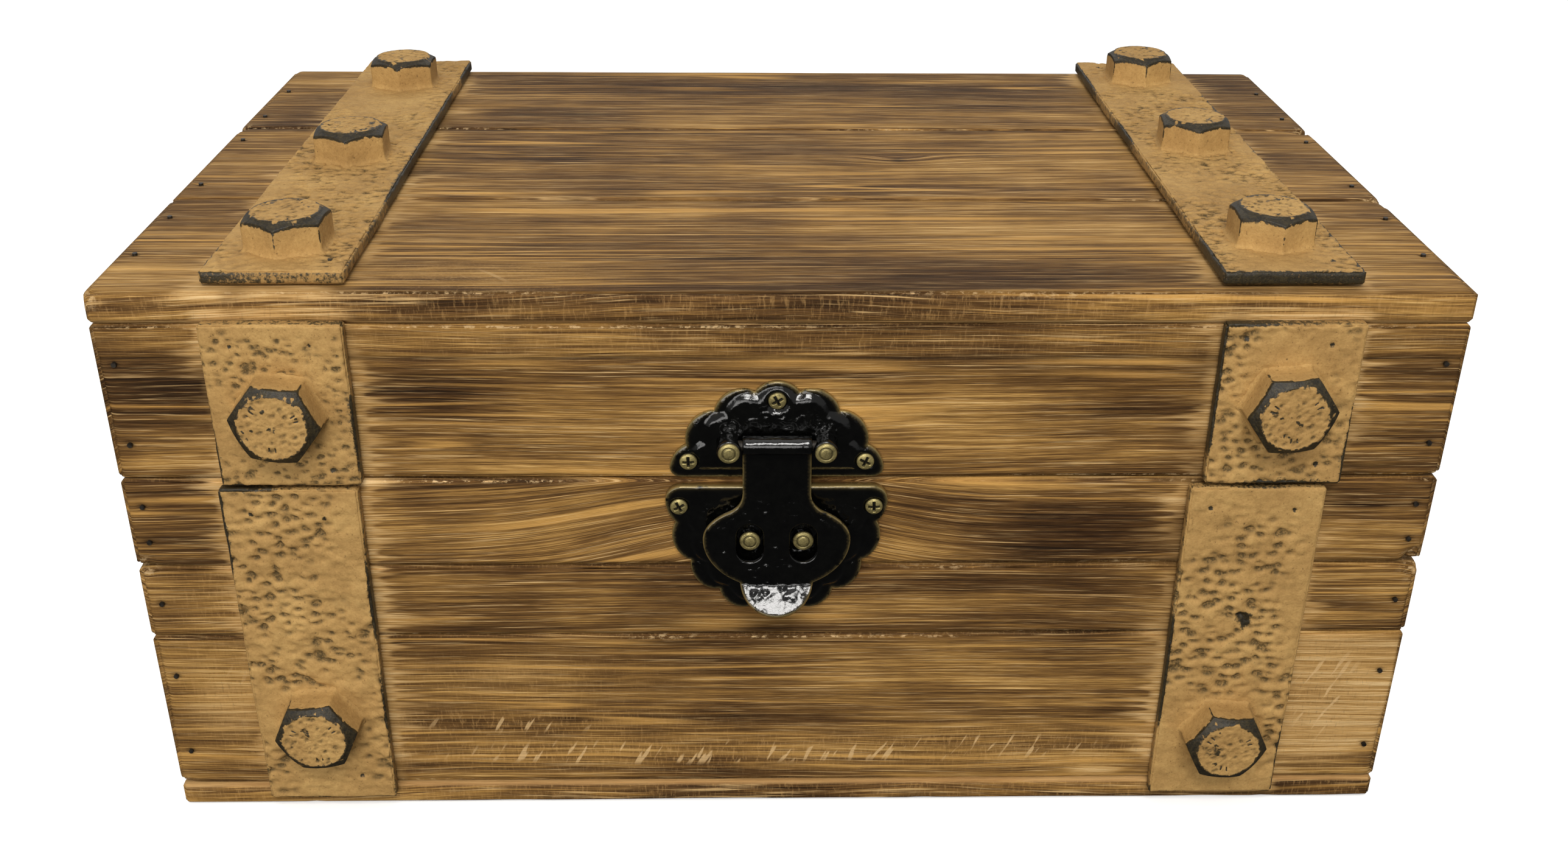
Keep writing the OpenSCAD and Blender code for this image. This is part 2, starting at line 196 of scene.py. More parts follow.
def add_fine_ends(places, zone=9.0, step=0.8):
    """Closer spacing near both ends of a plank, where the brads are."""
    low, high = places[0], places[-1]
    inner = places[(places > low + zone) & (places < high - zone)]
    near = places[places <= low + 2.0]
    far = places[places >= high - 2.0]
    start = np.arange(near[-1] + step, inner[0] - step / 2, step)
    end = np.arange(inner[-1] + step, far[0] - step / 2, step)
    return np.concatenate([near, start, inner, end, far])


def rounded_box(low, high, steps, radius, fine_axis=None):
    """A box with rounded edges as an even quad mesh, with closer rows at the ends of fine_axis. Returns
    its points, outward normals and faces."""
    low, high = np.asarray(low, float), np.asarray(high, float)
    axes = [stops(low[a], high[a], steps[a], radius) for a in range(3)]
    if fine_axis is not None:
        axes[fine_axis] = add_fine_ends(axes[fine_axis])
    counts = [len(s) for s in axes]
    keys, quads, start = [], [], 0
    for a in range(3):
        b, c = (a + 1) % 3, (a + 2) % 3
        grid_b, grid_c = np.meshgrid(np.arange(counts[b]), np.arange(counts[c]), indexing="ij")
        ids = np.arange(grid_b.size).reshape(grid_b.shape)
        quad = np.stack([ids[:-1, :-1], ids[1:, :-1], ids[1:, 1:], ids[:-1, 1:]], -1).reshape(-1, 4)
        for end in (0, counts[a] - 1):
            index = np.zeros((grid_b.size, 3), int)
            index[:, a] = end
            index[:, b] = grid_b.ravel()
            index[:, c] = grid_c.ravel()
            keys.append(index)
            quads.append((quad if end else quad[:, ::-1]) + start)
            start += grid_b.size
    keys = np.concatenate(keys)
    flat = (keys[:, 0] * counts[1] + keys[:, 1]) * counts[2] + keys[:, 2]
    _, first, inverse = np.unique(flat, return_index=True, return_inverse=True)
    keys = keys[first]
    points = np.stack([axes[a][keys[:, a]] for a in range(3)], -1)
    core = np.clip(points, low + radius, high - radius)
    normals = points - core
    normals /= np.linalg.norm(normals, axis=1, keepdims=True)
    return core + radius * normals, normals, inverse.ravel()[np.concatenate(quads)]


def ring_mesh(rings, closed=True):
    """Joins equal rings of points into a tube, with a fan over each end if it is closed."""
    rings = np.asarray(rings, float)
    count, size = rings.shape[:2]
    verts = rings.reshape(-1, 3)
    a = np.arange(size)
    b = (a + 1) % size
    faces = []
    for start in range(0, (count - 1) * size, size):
        quads = np.stack([start + a, start + b, start + size + b, start + size + a], -1)
        faces += [tuple(f) for f in quads]
    if closed:
        verts = np.vstack([verts, rings[0].mean(0), rings[-1].mean(0)])
        last = (count - 1) * size
        faces += [(count * size, int(j), int(i)) for i, j in zip(a, b)]
        faces += [(count * size + 1, last + int(i), last + int(j)) for i, j in zip(a, b)]
    return verts, faces


def joined(meshes):
    """One list of points and faces from several."""
    verts, faces, start = [], [], 0
    for points, polygons in meshes:
        verts.append(np.asarray(points, float))
        faces += [tuple(int(i) + start for i in f) for f in polygons]
        start += len(points)
    return np.vstack(verts), faces


# ---------------------------------------------------------------- materials


def colour(code):
    """Linear RGBA from a six-digit sRGB code."""
    parts = [int(code[i:i + 2], 16) / 255 for i in (0, 2, 4)]
    return tuple(p / 12.92 if p <= 0.04045 else ((p + 0.055) / 1.055) ** 2.4 for p in parts) + (1.0,)


class Shader:
    """A node material, built with short calls that each return an output socket."""

    def __init__(self, name):
        self.material = bpy.data.materials.new(name)
        self.material.use_nodes = True
        self.tree = self.material.node_tree
        self.bsdf = self.tree.nodes["Principled BSDF"]

    def node(self, kind, inputs=(), **settings):
        made = self.tree.nodes.new(kind)
        for key, value in settings.items():
            setattr(made, key, value)
        for key, value in dict(inputs).items():
            self.set(made.inputs[key], value)
        return made

    def set(self, socket, value):
        if isinstance(value, bpy.types.NodeSocket):
            self.tree.links.new(value, socket)
        else:
            socket.default_value = value

    def surface(self, **values):
        for key, value in values.items():
            self.set(self.bsdf.inputs[key.replace("_", " ")], value)

    def attribute(self, name, output="Vector"):
        return self.node("ShaderNodeAttribute", attribute_name=name).outputs[output]

    def place(self):
        """Position in the piece's own frame, in millimetres."""
        position = self.node("ShaderNodeTexCoord").outputs["Object"]
        return self.times(position, 1000, 1000, 1000)

    def times(self, vector, x, y, z):
        made = self.node("ShaderNodeVectorMath", {0: vector, 1: (x, y, z)}, operation="MULTIPLY")
        return made.outputs["Vector"]

    def parts(self, vector):
        return self.node("ShaderNodeSeparateXYZ", {"Vector": vector}).outputs

    def math(self, operation, a, b=0.0):
        return self.node("ShaderNodeMath", {0: a, 1: b}, operation=operation).outputs["Value"]

    def product(self, a, b):
        return self.math("MULTIPLY", a, b)

    def sum(self, *weighted):
        """The sum of (weight, socket) pairs."""
        total = 0.0
        for weight, value in weighted:
            total = self.math("ADD", total, self.product(value, weight))
        return total

    def noise(self, vector, detail, roughness, scale=1.0):
        inputs = {"Vector": vector, "Scale": scale, "Detail": detail, "Roughness": roughness}
        return self.node("ShaderNodeTexNoise", inputs).outputs["Fac"]

    def rounded_cells(self, vector):
        """Distance from the middle of scattered soft cells."""
        inputs = {"Vector": vector, "Scale": 1.0}
        return self.node("ShaderNodeTexVoronoi", inputs, feature="SMOOTH_F1").outputs["Distance"]

    def span(self, value, low, high, to_low=0.0, to_high=1.0):
        """Maps low..high to to_low..to_high, held at both ends."""
        inputs = {0: value, 1: low, 2: high, 3: to_low, 4: to_high}
        return self.node("ShaderNodeMapRange", inputs, interpolation_type="SMOOTHSTEP").outputs[0]

    def patches(self, vector, scales, detail, roughness, *limits):
        """Noise at a scale for each direction, with its contrast raised between limits."""
        return self.span(self.noise(self.times(vector, *scales), detail, roughness), *limits)

    def ramp(self, value, steps):
        made = self.node("ShaderNodeValToRGB", {0: value})
        marks = made.color_ramp.elements
        while len(marks) < len(steps):
            marks.new(0.5)
        for mark, (place, code) in zip(marks, steps):
            mark.position = place
            mark.color = colour(code)
        return made.outputs["Color"]

    def mix(self, amount, a, b, blend="MIX"):
        made = self.node("ShaderNodeMix", data_type="RGBA", blend_type=blend)
        self.set(made.inputs[0], amount)
        self.set(made.inputs[6], colour(a) if isinstance(a, str) else a)
        self.set(made.inputs[7], colour(b) if isinstance(b, str) else b)
        return made.outputs[2]

    def bump(self, height, distance, strength):
        """A normal from a height of 0 to 1 that stands for a distance in millimetres."""
        inputs = {"Height": height, "Distance": distance * MM, "Strength": strength}
        return self.node("ShaderNodeBump", inputs).outputs["Normal"]


# Pine's colours from dark to pale, as (place from 0 to 1, sRGB code): burnt outside, raw inside the box.
BURNT_TONES = [
    (0.00, "1e1308"), (0.20, "3a2610"), (0.36, "593d1e"), (0.50, "77562d"),
    (0.64, "9d753c"), (0.78, "c59a58"), (1.00, "e6c288"),
]
RAW_TONES = [(0.0, "8a6436"), (0.35, "ab8350"), (0.6, "c49d66"), (0.8, "d4b07a"), (1.0, "e2c596")]


def pine(name):
    """Brushed, burnt pine: streaks that follow each plank's own grain, pale where it is inside the box.

    The planks carry grain (along, across the rings, per-plank offset), wear (rubbed edge; tone that is
    lighter or darker in spots, darker along the long edges as painted shade at the seams; distance from the
    nearest strap), marks (knot; darkening in hollows, which is painted shade in the seams and score lines and the
    dark of the brad dents; saw marks) and burn (1 outside, 0 inside).
    """
    s = Shader(name)
    grain = s.attribute("grain")
    edge, shade, strap_gap = s.parts(s.attribute("wear"))
    knot, dark_hollow, saw = s.parts(s.attribute("marks"))
    burn = s.attribute("burn", "Fac")
    place = s.place()
    x, y, z = s.parts(place)

    broad = s.patches(grain, (0.007, 0.08, 1), 2, 0.5, 0.3, 0.7)
    band = s.patches(grain, (0.009, 0.3, 1), 3, 0.6, 0.3, 0.7)
    streak = s.patches(grain, (0.013, 1.5, 1), 5, 0.72, 0.31, 0.69)
    fibre = s.patches(grain, (0.05, 5.0, 1), 3, 0.75, 0.34, 0.66)
    blotch = s.patches(place, (0.025, 0.025, 0.035), 3, 0.6, 0.35, 0.65)
    tone = s.sum((0.13, broad), (0.16, band), (0.29, streak), (0.27, fibre), (0.13, blotch), (0.24, shade))
    tone = s.math("SUBTRACT", tone, s.product(knot, 0.5))
    outside = s.ramp(tone, BURNT_TONES)

    field = s.noise(s.times(grain, 0.0035, 0.15, 2), 1, 0.4)
    contour = s.math("ABSOLUTE", s.math("SUBTRACT", s.math("FRACT", s.product(field, 5.5)), 0.5))
    where = s.patches(grain, (0.012, 0.11, 6), 2, 0.5, 0.47, 0.62)
    gold = s.product(s.product(s.span(contour, 0.16, 0.02), where), 0.8)
    outside = s.mix(gold, outside, "d3a157")
    dash = s.product(s.patches(grain, (0.032, 2.9, 3), 3, 0.7, 0.56, 0.68), 0.75)
    outside = s.mix(dash, outside, "dcb67c")
    cracks = s.product(s.patches(grain, (0.014, 2.2, 8), 3, 0.6, 0.38, 0.28), 0.45)
    outside = s.mix(cracks, outside, "2e1e0f")

    # Darker where shade is below zero: char in spots, and painted shade along the boards' long edges.
    char_and_edge_shade = s.product(s.span(shade, -0.15, -1.0), 0.7)
    outside = s.mix(char_and_edge_shade, outside, "8a7357", "MULTIPLY")
    fresh = s.ramp(s.sum((0.5, streak), (0.5, fibre)), [(0.15, "9a733c"), (0.5, "cfa364"), (0.9, "eccb95")])
    reach = s.patches(grain, (0.004, 0.75, 4), 2, 0.6, 0.4, 0.72, 2.5, 15.0)
    near_strap = s.span(s.math("DIVIDE", strap_gap, reach), 1.05, 0.2)
    bare_zone = s.patches(place, (0.045, 0.045, 0.045), 2, 0.5, 0.42, 0.6, 0.12, 0.85)
    paler = s.product(s.span(shade, 0.5, 1.0), 0.75)
    bare = s.math("MAXIMUM", s.product(near_strap, bare_zone), paler)
    outside = s.mix(bare, outside, fresh)

    upright = s.noise(s.times(place, 1.5, 1.5, 0.32), 3, 0.7)
    outside = s.mix(s.product(saw, s.span(upright, 0.5, 0.72, 0.0, 0.6)), outside, "cba064")
    outside = s.mix(s.product(saw, s.span(upright, 0.45, 0.3, 0.0, 0.35)), outside, "4a3218")
    slant = s.math("SUBTRACT", s.sum((1.0, x), (1.0, y)), s.product(z, 0.5))
    slanted = s.node("ShaderNodeCombineXYZ", {0: s.product(slant, 0.55), 1: s.product(z, 0.1)})
    strokes = s.span(s.noise(slanted.outputs[0], 1, 0.5), 0.61, 0.67)
    outside = s.mix(s.product(s.span(saw, 0.5, 0.9), s.product(strokes, 0.75)), outside, "dfba84")
    specks = s.patches(place, (0.5, 0.5, 0.9), 4, 0.7, 0.5, 0.6)
    outside = s.mix(s.product(edge, specks), outside, "e2c18e")

    inside = s.ramp(s.sum((0.3, broad), (0.4, band), (0.3, streak)), RAW_TONES)
    inside = s.mix(s.product(knot, 0.7), inside, "6b4423")
    body = s.mix(burn, inside, outside)
    # Near-black in the hollows: painted shade in the seams and score lines, and the dark of the brad dents.
    body = s.mix(dark_hollow, body, "150d08")

    rough = s.span(s.sum((0.5, streak), (0.5, fibre)), 0.2, 0.9, 0.66, 0.46)
    s.surface(Base_Color=body, Roughness=rough, Specular_IOR_Level=0.14)
    s.surface(Normal=s.bump(s.sum((0.3, band), (0.35, streak), (0.35, fibre)), 0.3, 0.8))
    return s.material


def strap_paint(name):
    """Ochre paint over a rough casting. relief is low in the hollows, which are darkened: dark rubbed in, with
    painted shade where their deeper upper sides fall in shadow. rub is the dark rubbed-in colour, with painted
    shade on the straps' sides.
    """
    s = Shader(name)
    place = s.place()
    relief = s.attribute("relief", "Fac")
    rub = s.attribute("rub", "Fac")
    cloud = s.noise(s.times(place, 0.07, 0.07, 0.07), 3, 0.6)
    grit = s.noise(s.times(place, 1.9, 1.9, 1.9), 3, 0.7)
    crumbs = s.noise(s.times(place, 0.8, 0.8, 0.8), 4, 0.7)
    mottled = s.sum((0.45, cloud), (0.3, crumbs), (0.25, grit))
    base = s.ramp(mottled, [(0.34, "957240"), (0.5, "ad8850"), (0.66, "c29d60")])
    # Painted shade with dark rubbed in: the hollows darken, most at their deeper upper sides.
    low_places = s.span(relief, 0.66, 0.25)
    broken = s.span(s.sum((0.5, crumbs), (0.5, grit)), 0.36, 0.56, 0.2, 1.0)
    hollow = s.product(low_places, broken)
    base = s.mix(s.product(hollow, 0.9), base, "3d3119")
    dark = s.span(s.sum((1.0, rub), (0.9, crumbs), (0.5, grit)), 0.98, 1.22)
    # Where rub is high: grime and rubbed-in dark, and painted shade on the straps' sides.
    grime_and_side_shade = s.ramp(s.sum((0.5, grit), (0.5, crumbs)), [(0.4, "1c1a16"), (0.62, "3f3622")])
    base = s.mix(dark, base, grime_and_side_shade)
    flecks = s.product(s.span(s.sum((0.6, grit), (0.4, crumbs)), 0.41, 0.33), 0.75)
    base = s.mix(flecks, base, "4b3a1e")
    s.surface(Base_Color=base, Roughness=s.span(dark, 0.0, 1.0, 0.78, 0.42), Specular_IOR_Level=0.3)
    s.surface(Normal=s.bump(s.sum((0.4, grit), (0.6, crumbs)), 0.35, 0.7))
    return s.material


def enamel(name):
    """Gloss black enamel, rubbed through to brass along the edges (rub)."""
    s = Shader(name)
    place = s.place()
    rub = s.attribute("rub", "Fac")
    patch = s.noise(s.times(place, 0.35, 0.35, 0.35), 4, 0.65)
    bare = s.product(rub, s.span(patch, 0.3, 0.5))
    film = s.ramp(patch, [(0.3, "020202"), (0.7, "070706")])
    s.surface(Base_Color=s.mix(bare, film, "b09a62"), Metallic=s.product(bare, 0.8))
    s.surface(Roughness=s.span(bare, 0.0, 1.0, 0.09, 0.35))
    waves = s.noise(s.times(place, 0.8, 0.8, 0.8), 3, 0.6)
    scrolls = s.span(s.rounded_cells(s.times(place, 0.42, 0.42, 0.42)), 0.2, 0.5)
    crumbs = s.noise(s.times(place, 2.2, 2.2, 2.2), 3, 0.7)
    s.surface(Normal=s.bump(s.sum((0.4, waves), (0.4, scrolls), (0.2, crumbs)), 0.17, 0.7))
    return s.material


def brass(name, bright, dull, rough=0.34):
    """Aged brass, mottled: brighter on the raised parts, darker where rub is set, which is painted shade in the
    screw recesses and round each head's foot, and a darker ring on the rivets.
    """
    s = Shader(name)
    place = s.place()
    patch = s.noise(s.times(place, 0.5, 0.5, 0.5), 4, 0.65)
    fine = s.noise(s.times(place, 3, 3, 3), 3, 0.6)
    mixed = s.sum((0.65, patch), (0.35, fine))
    # Darkened where rub is set: painted shade in the screw recesses and round the heads' feet.
    blotchy = s.mix(s.attribute("rub", "Fac"), s.ramp(mixed, [(0.36, dull), (0.62, bright)]), "14110b")
    s.surface(Base_Color=blotchy, Metallic=0.65)
    s.surface(Roughness=s.span(mixed, 0.3, 0.7, rough + 0.18, rough))
    s.surface(Normal=s.bump(fine, 0.05, 0.5))
    return s.material


def dark_steel(name):
    """Darkened steel, mottled."""
    s = Shader(name)
    patch = s.noise(s.times(s.place(), 0.9, 0.9, 0.9), 4, 0.65)
    s.surface(Base_Color=s.ramp(patch, [(0.3, "14110e"), (0.7, "38322a")]), Metallic=0.4)
    s.surface(Roughness=s.span(patch, 0.3, 0.7, 0.32, 0.55))
    return s.material


pine_wood = pine("burnt_pine")
strap_coat = strap_paint("strap_ochre")
black_enamel = enamel("latch_enamel")
fitting_brass = brass("antique_brass", "b3a46c", "5d5433")
hinge_metal = brass("hinge_brass", "8c7440", "3b2f1a", 0.42)
steel = dark_steel("dark_steel")


# ---------------------------------------------------------------- planks

STRAPS = [node for node in BODY_OF if node.endswith("_strap")]
STRAP_BOXES = {node: node_box(node) for node in STRAPS}
OUTWARD = {"front": (0, -1, 0), "rear": (0, 1, 0), "left": (-1, 0, 0), "right": (1, 0, 0)}
UP, DOWN = (0, 0, 1), (0, 0, -1)
BOARD_EDGE = 1.3  # radius of a board's edges before wear
FAR_FROM_STRAPS = 60.0


def box_distance(points, low, high):
    """Distance of each point from a box, 0 inside it."""
    gap = np.maximum(np.maximum(low - points, points - high), 0)
    return np.linalg.norm(gap, axis=1)


class PlankFrame:
    """A plank's own directions: along its length, across its width, and depth below its outer face."""

    def __init__(self, node, outward):
        self.low, self.high = node_box(node)
        self.outward = np.array(outward, float)
        self.out = int(np.argmax(np.abs(self.outward)))
        self.sign = self.outward[self.out]
        self.length = Y if self.out == X else X
        self.width = 3 - self.out - self.length
        self.middle = (self.low + self.high) / 2
        self.size = self.high - self.low
        self.face = self.high[self.out] if self.sign > 0 else self.low[self.out]

    def local(self, points):
        along = points[:, self.length] - self.middle[self.length]
        across = points[:, self.width] - self.middle[self.width]
        depth = self.sign * (self.face - points[:, self.out])
        return along, across, depth


def brads_near(board, node):
    """The (along, across) places of the brads whose heads are in a plank's outer face."""
    found = []
    for place in BRADS[BODY_OF[node]]:
        in_face = abs(place[board.out] - board.face) < 1.0
        if in_face and np.all(place + 0.5 > board.low) and np.all(place - 0.5 < board.high):
            along, across, _ = board.local(place[None])
            found.append((along[0], across[0]))
    return found


def plank(node, outward, seed, pith=0.0, depth=40.0, tilt=0.015, knots=(), chips=(), shades=(), saws=(),
          scores=(), saw=0.0, eased=(0.0, 0.0)):
    """One board. pith is how far across the tree's centre lies, depth how far under the face, and tilt how
    fast the face climbs through the rings. knots are (along, across, radius, swirl, dark), chips (along,
    side, length, deep), shades and saws (along, across, half length, half width, amount), and scores
    (across, deep). eased is how far its low and high long edges are rounded over."""
    f = PlankFrame(node, outward)
    steps = [0.0] * 3
    steps[f.length], steps[f.width], steps[f.out] = 2.6, 0.62, 1.3
    points, normals, faces = rounded_box(f.low, f.high, steps, BOARD_EDGE, fine_axis=f.length)
    along, across, below = f.local(points)
    half_length, half_width = f.size[f.length] / 2, f.size[f.width] / 2
    facing = normals @ f.outward
    outer = smooth(facing, 0.2, 0.8)
    corner = smooth(1 - np.abs(normals).max(1), 0.0, 0.27)
    to_edge = half_width - np.abs(across)
    to_end = half_length - np.abs(along)

    flat = np.stack([along, across, below], -1)
    bend = 2.6 * noise(stretched(flat, 0.006, 0.02, 0.02), seed + 1)
    bend += 0.5 * noise(stretched(flat, 0.025, 0.06, 0.02), seed + 2)
    ring = np.hypot(across - pith - bend, below * 1.4 + depth + tilt * along)
    ring += 0.3 * fractal(stretched(flat, 0.03, 0.12, 0.1), seed + 3, 2)
    knot = np.zeros(len(points))
    for at, over, radius, swirl, dark in knots:
        away = np.hypot((along - at) / 2.6, across - over) / radius
        ring += swirl * np.exp(-(away**2) * 0.5)
        core = np.exp(-((np.hypot((along - at) / 1.3, across - over) / (0.42 * radius)) ** 2))
        knot = np.maximum(knot, dark * core)
    grain = np.stack([along + 137.0 * seed, ring, np.full(len(points), 7.3 * seed)], -1)

    streaks = fractal(stretched(grain, 0.012, 0.42, 1), seed + 4, 2)
    swell = fractal(stretched(flat, 0.012, 0.05, 0.05), seed + 5, 2)
    sink = 0.12 + outer * (0.15 * (0.8 + streaks) + 0.12 * (0.8 + swell))
    ragged = 0.35 + 0.65 * smooth(noise(points * 0.07, seed + 6), -0.4, 0.9)
    ragged += 0.8 * smooth(noise(points * 0.16, seed + 7), 0.45, 0.9)
    sink += corner * ragged * 0.75
    worn_end = 2.2 + 1.4 * noise(points * 0.05, seed + 12)
    sink += outer * worn_end * rounded_fall(to_end / worn_end)
    groove = np.zeros(len(points))
    for side, radius in zip((-1, 1), eased):
        if radius:
            uneven = radius * (0.9 + 0.45 * noise(points * 0.02, seed + 14))
            fall = uneven * rounded_fall((half_width - side * across) / uneven)
            sink += fall * outer
            groove = np.maximum(groove, 0.9 * smooth(fall, 0.3, 1.0) * outer)
    for over, deep in scores:
        stray = 0.25 * noise(stretched(flat, 0.05, 0, 0), seed + 13)
        line = np.exp(-(((across - over - stray) / 0.45) ** 2))
        groove = np.maximum(groove, line * outer)
        sink += deep * line * outer
    moved = points - normals * sink[:, None]

    across_way = np.zeros(3)
    across_way[f.width] = 1.0
    split = np.zeros(len(points))
    for at, side, length, deep in chips:
        reach = np.exp(-(((along - at) / length) ** 2))
        reach *= np.exp(-((half_width - side * across) / (1.5 * deep)) ** 2)
        reach *= np.exp(-((below / (2.2 * deep)) ** 2))
        jag = 0.65 + 0.6 * noise(points * 0.5, seed + 8)
        moved -= (reach * jag * deep)[:, None] * (0.8 * side * across_way + 0.55 * f.outward)
        split = np.maximum(split, reach)

    # Painted shade: the rounded-over seams and score lines are darkened towards near-black through marks. The
    # brad dents below are dark as well.
    dark_hollow = 0.6 * groove
    for at, over in brads_near(f, node):
        away = np.hypot((along - at), 1.25 * (across - over))
        dent = np.exp(-((away / 1.0) ** 2)) * outer
        moved -= (0.6 * dent)[:, None] * f.outward
        dark_hollow = np.maximum(dark_hollow, 0.8 * dent)

    touching = [box_distance(points, *STRAP_BOXES[s]) for s in STRAPS if BODY_OF[s] == BODY_OF[node]]
    strap_gap = np.min(touching, axis=0) if touching else np.full(len(points), FAR_FROM_STRAPS)
    shade = 0.4 * noise(stretched(flat, 0.014, 0.05, 0.03), seed + 9) + spots(along, across, shades) * outer
    # Painted shade: darker within about a millimetre of the outer face's long edges, along the seams between
    # boards. The side faces are a little darker too.
    shade -= 0.5 * np.exp(-to_edge / 1.1) * outer + 0.12 * (1 - outer)
    edge = corner * outer * 1.2 * smooth(noise(stretched(points, 0.03, 0.05, 0.05), seed + 10), 0.0, 0.7)
    edge = np.maximum(np.clip(edge, 0, 1), 0.8 * split)
    deepest = f.size[f.out]
    burn = 1 - smooth(below, deepest - 1.4, deepest - 0.3)
    sawn = saw * smooth(noise(points * 0.03, seed + 11), -0.2, 0.5) + spots(along, across, saws)
    sawn = np.clip(sawn * outer + 0.5 * (1 - outer), 0, 1)
    new_piece(
        "wood_" + node, moved, faces, pine_wood, node, grain=grain, burn=burn,
        wear=np.stack([edge, np.clip(shade, -1, 1), strap_gap], -1),
        marks=np.stack([knot, np.clip(dark_hollow, 0, 1), sawn], -1),
    )


SAME_LEVEL = 0.05  # points closer than this lie in one plane


def node_points(node):
    """The corners of a CAD node's mesh, in millimetres."""
    mesh = frame["nodes"][node].data
    points = np.empty(len(mesh.vertices) * 3)
    mesh.vertices.foreach_get("co", points)
    return points.reshape(-1, 3) / MM


def clusters(points, reach):
    """Groups points that lie within reach of the first of their group."""
    left, groups = points, []
    while len(left):
        near = np.linalg.norm(left - left[0], axis=1) < reach
        groups.append(left[near])
        left = left[~near]
    return groups


def heads(node):
    """The outer end of each brad in a CAD node."""
    low, high = node_box(node)
    points = node_points(node)
    found = []
    for axis, level in ((Y, low[Y]), (Y, high[Y]), (Z, high[Z])):
        if axis == Z and level < BOX_TOP - 0.1:
            continue
        at_level = points[np.abs(points[:, axis] - level) < SAME_LEVEL]
        found += [group.mean(0) for group in clusters(at_level, 3.0)]
    return found


BOX_TOP = node_box("top_middle_plank")[1][Z]
BRADS = {"base": heads("body_brads"), "lid": heads("lid_brads")}


def spots(along, across, places):
    """The sum of soft spots, each (along, across, half length, half width, amount)."""
    total = np.zeros(len(along))
    for at, over, half_length, half_width, amount in places:
        lengthways = np.exp(-(((along - at) / half_length) ** 2))
        sideways = np.exp(-(((across - over) / half_width) ** 2))
        total += amount * lengthways * sideways
    return total


def make_planks():
    """Every board of the box and the lid."""
    plank("base_board", DOWN, 3, pith=20, depth=30)
    plank("front_lower_plank", OUTWARD["front"], 11, pith=-56, depth=26, tilt=0.01, eased=(0.0, 0.8),
          chips=[(-159, -1, 2.5, 1.2), (-30, 1, 9, 0.6)],
          shades=[(-70, 10, 34, 9, 0.6), (55, 16, 40, 8, 0.6), (-40, -14, 60, 6, 0.35), (25, -1, 60, 3, -0.5),
                  (88, 0, 14, 12, -0.4), (0, 0, 300, 40, 0.2), (-142, 6, 18, 22, 0.6), (-140, -20, 16, 3, -0.2),
                  (142, 4, 22, 26, 1.3), (84, -21, 9, 2.5, 0.9)],
          saws=[(-35, -14, 75, 5, 1.1), (-70, -4, 40, 4, 0.9), (-70, 10, 34, 8, 0.5), (60, -12, 40, 6, 0.8),
                (142, 4, 14, 22, 1.0), (-142, 6, 14, 20, 0.7)])
    plank("front_middle_plank", OUTWARD["front"], 23, pith=60, depth=38, tilt=0.01, eased=(0.7, 1.5),
          chips=[(-158, 1, 2.2, 1.6), (40, 1, 10, 0.5), (159, 1, 3, 2.6)],
          shades=[(-60, 2, 30, 4, 0.3), (60, 5, 35, 4, -0.35), (138, 0, 12, 8, -0.3), (10, -2, 40, 4, 0.2)],
          saws=[(-142, 0, 12, 12, 0.5)])
    plank("front_upper_plank", OUTWARD["front"], 31, pith=44, depth=30, tilt=0.01,
          knots=[(-12, 0, 11, 9, 0)], eased=(1.9, 0.0),
          chips=[(-158, -1, 2.4, 1.8), (158, -1, 3, 2.6), (84, -1, 8, 0.7)],
          shades=[(-30, 0, 20, 8, 0.35), (75, -1, 30, 9, -0.8), (36, -6, 12, 3, 0.5), (142, 6, 12, 4, -0.5),
                  (142, -7, 14, 3, 0.4), (-85, 4, 18, 5, -0.2)])
    plank("lid_front_board", OUTWARD["front"], 47, pith=-56, depth=34, tilt=-0.006,
          chips=[(159, -1, 2, 1.0)], scores=[(11.5, 0.5)],
          shades=[(-80, 1, 17, 9, -0.75), (-142, 3, 16, 5, -0.3), (-142, -13, 14, 6, 0.6), (-142, 16, 16, 4, 0.5),
                  (80, 0, 22, 9, -0.6), (45, -4, 34, 8, 0.35), (-20, 16, 70, 4, 0.4), (0, 7, 70, 4, -0.55),
                  (145, -2, 12, 10, 0.35)],
          saws=[(0, 16, 150, 4, 0.55)])
    plank("top_front_plank", UP, 53, pith=70, depth=30, tilt=0.012,
          chips=[(-159, -1, 2.5, 1.6), (60, -1, 14, 0.5), (159, 1, 2.4, 1.8)],
          shades=[(40, -22, 42, 10, -0.45), (-72, -22, 20, 9, 0.5), (30, 10, 70, 3, 0.4), (-142, 0, 16, 30, 0.35),
                  (142, 0, 14, 30, 0.3), (85, 8, 16, 12, 0.15)],
          saws=[(-72, -22, 26, 10, 0.7)])
    plank("top_middle_plank", UP, 61, pith=-64, depth=44, tilt=0.01,
          knots=[(34, 2, 3.2, 3, 0.9)], chips=[(158, 1, 3, 2.2), (158, -1, 3, 2.0), (-159, 1, 2, 1.6)],
          shades=[(-62, 8, 30, 8, -0.3), (20, -12, 66, 3, 0.4), (94, 0, 18, 9, 0.4), (-142, 0, 14, 26, 0.2)])
    plank("top_rear_plank", UP, 71, pith=-62, depth=26, tilt=0.01,
          chips=[(-159, -1, 2.4, 1.8), (159, -1, 3, 2.0)],
          shades=[(-40, 8, 60, 12, -0.55), (70, 14, 40, 8, -0.3), (40, -4, 30, 4, 0.2)])
    for seed, (side, course) in enumerate(
        [(s, c) for s in ("rear", "left", "right") for c in ("lower", "middle", "upper")]
    ):
        plank(f"{side}_{course}_plank", OUTWARD[side], 83 + 7 * seed, pith=(-54, 58, 66)[seed % 3],
              depth=24 + 5 * (seed % 4), tilt=0.01, saw=0.7 * (course == "lower"),
              knots=[(52 - 31 * seed % 90, 2, 4, 4, 0.8)] if seed in (3, 7) else ())
    for seed, side in enumerate(("rear", "left", "right")):
        plank(f"lid_{side}_board", OUTWARD[side], 151 + 9 * seed, pith=(60, -58, 62)[seed],
              depth=32, tilt=0.01)


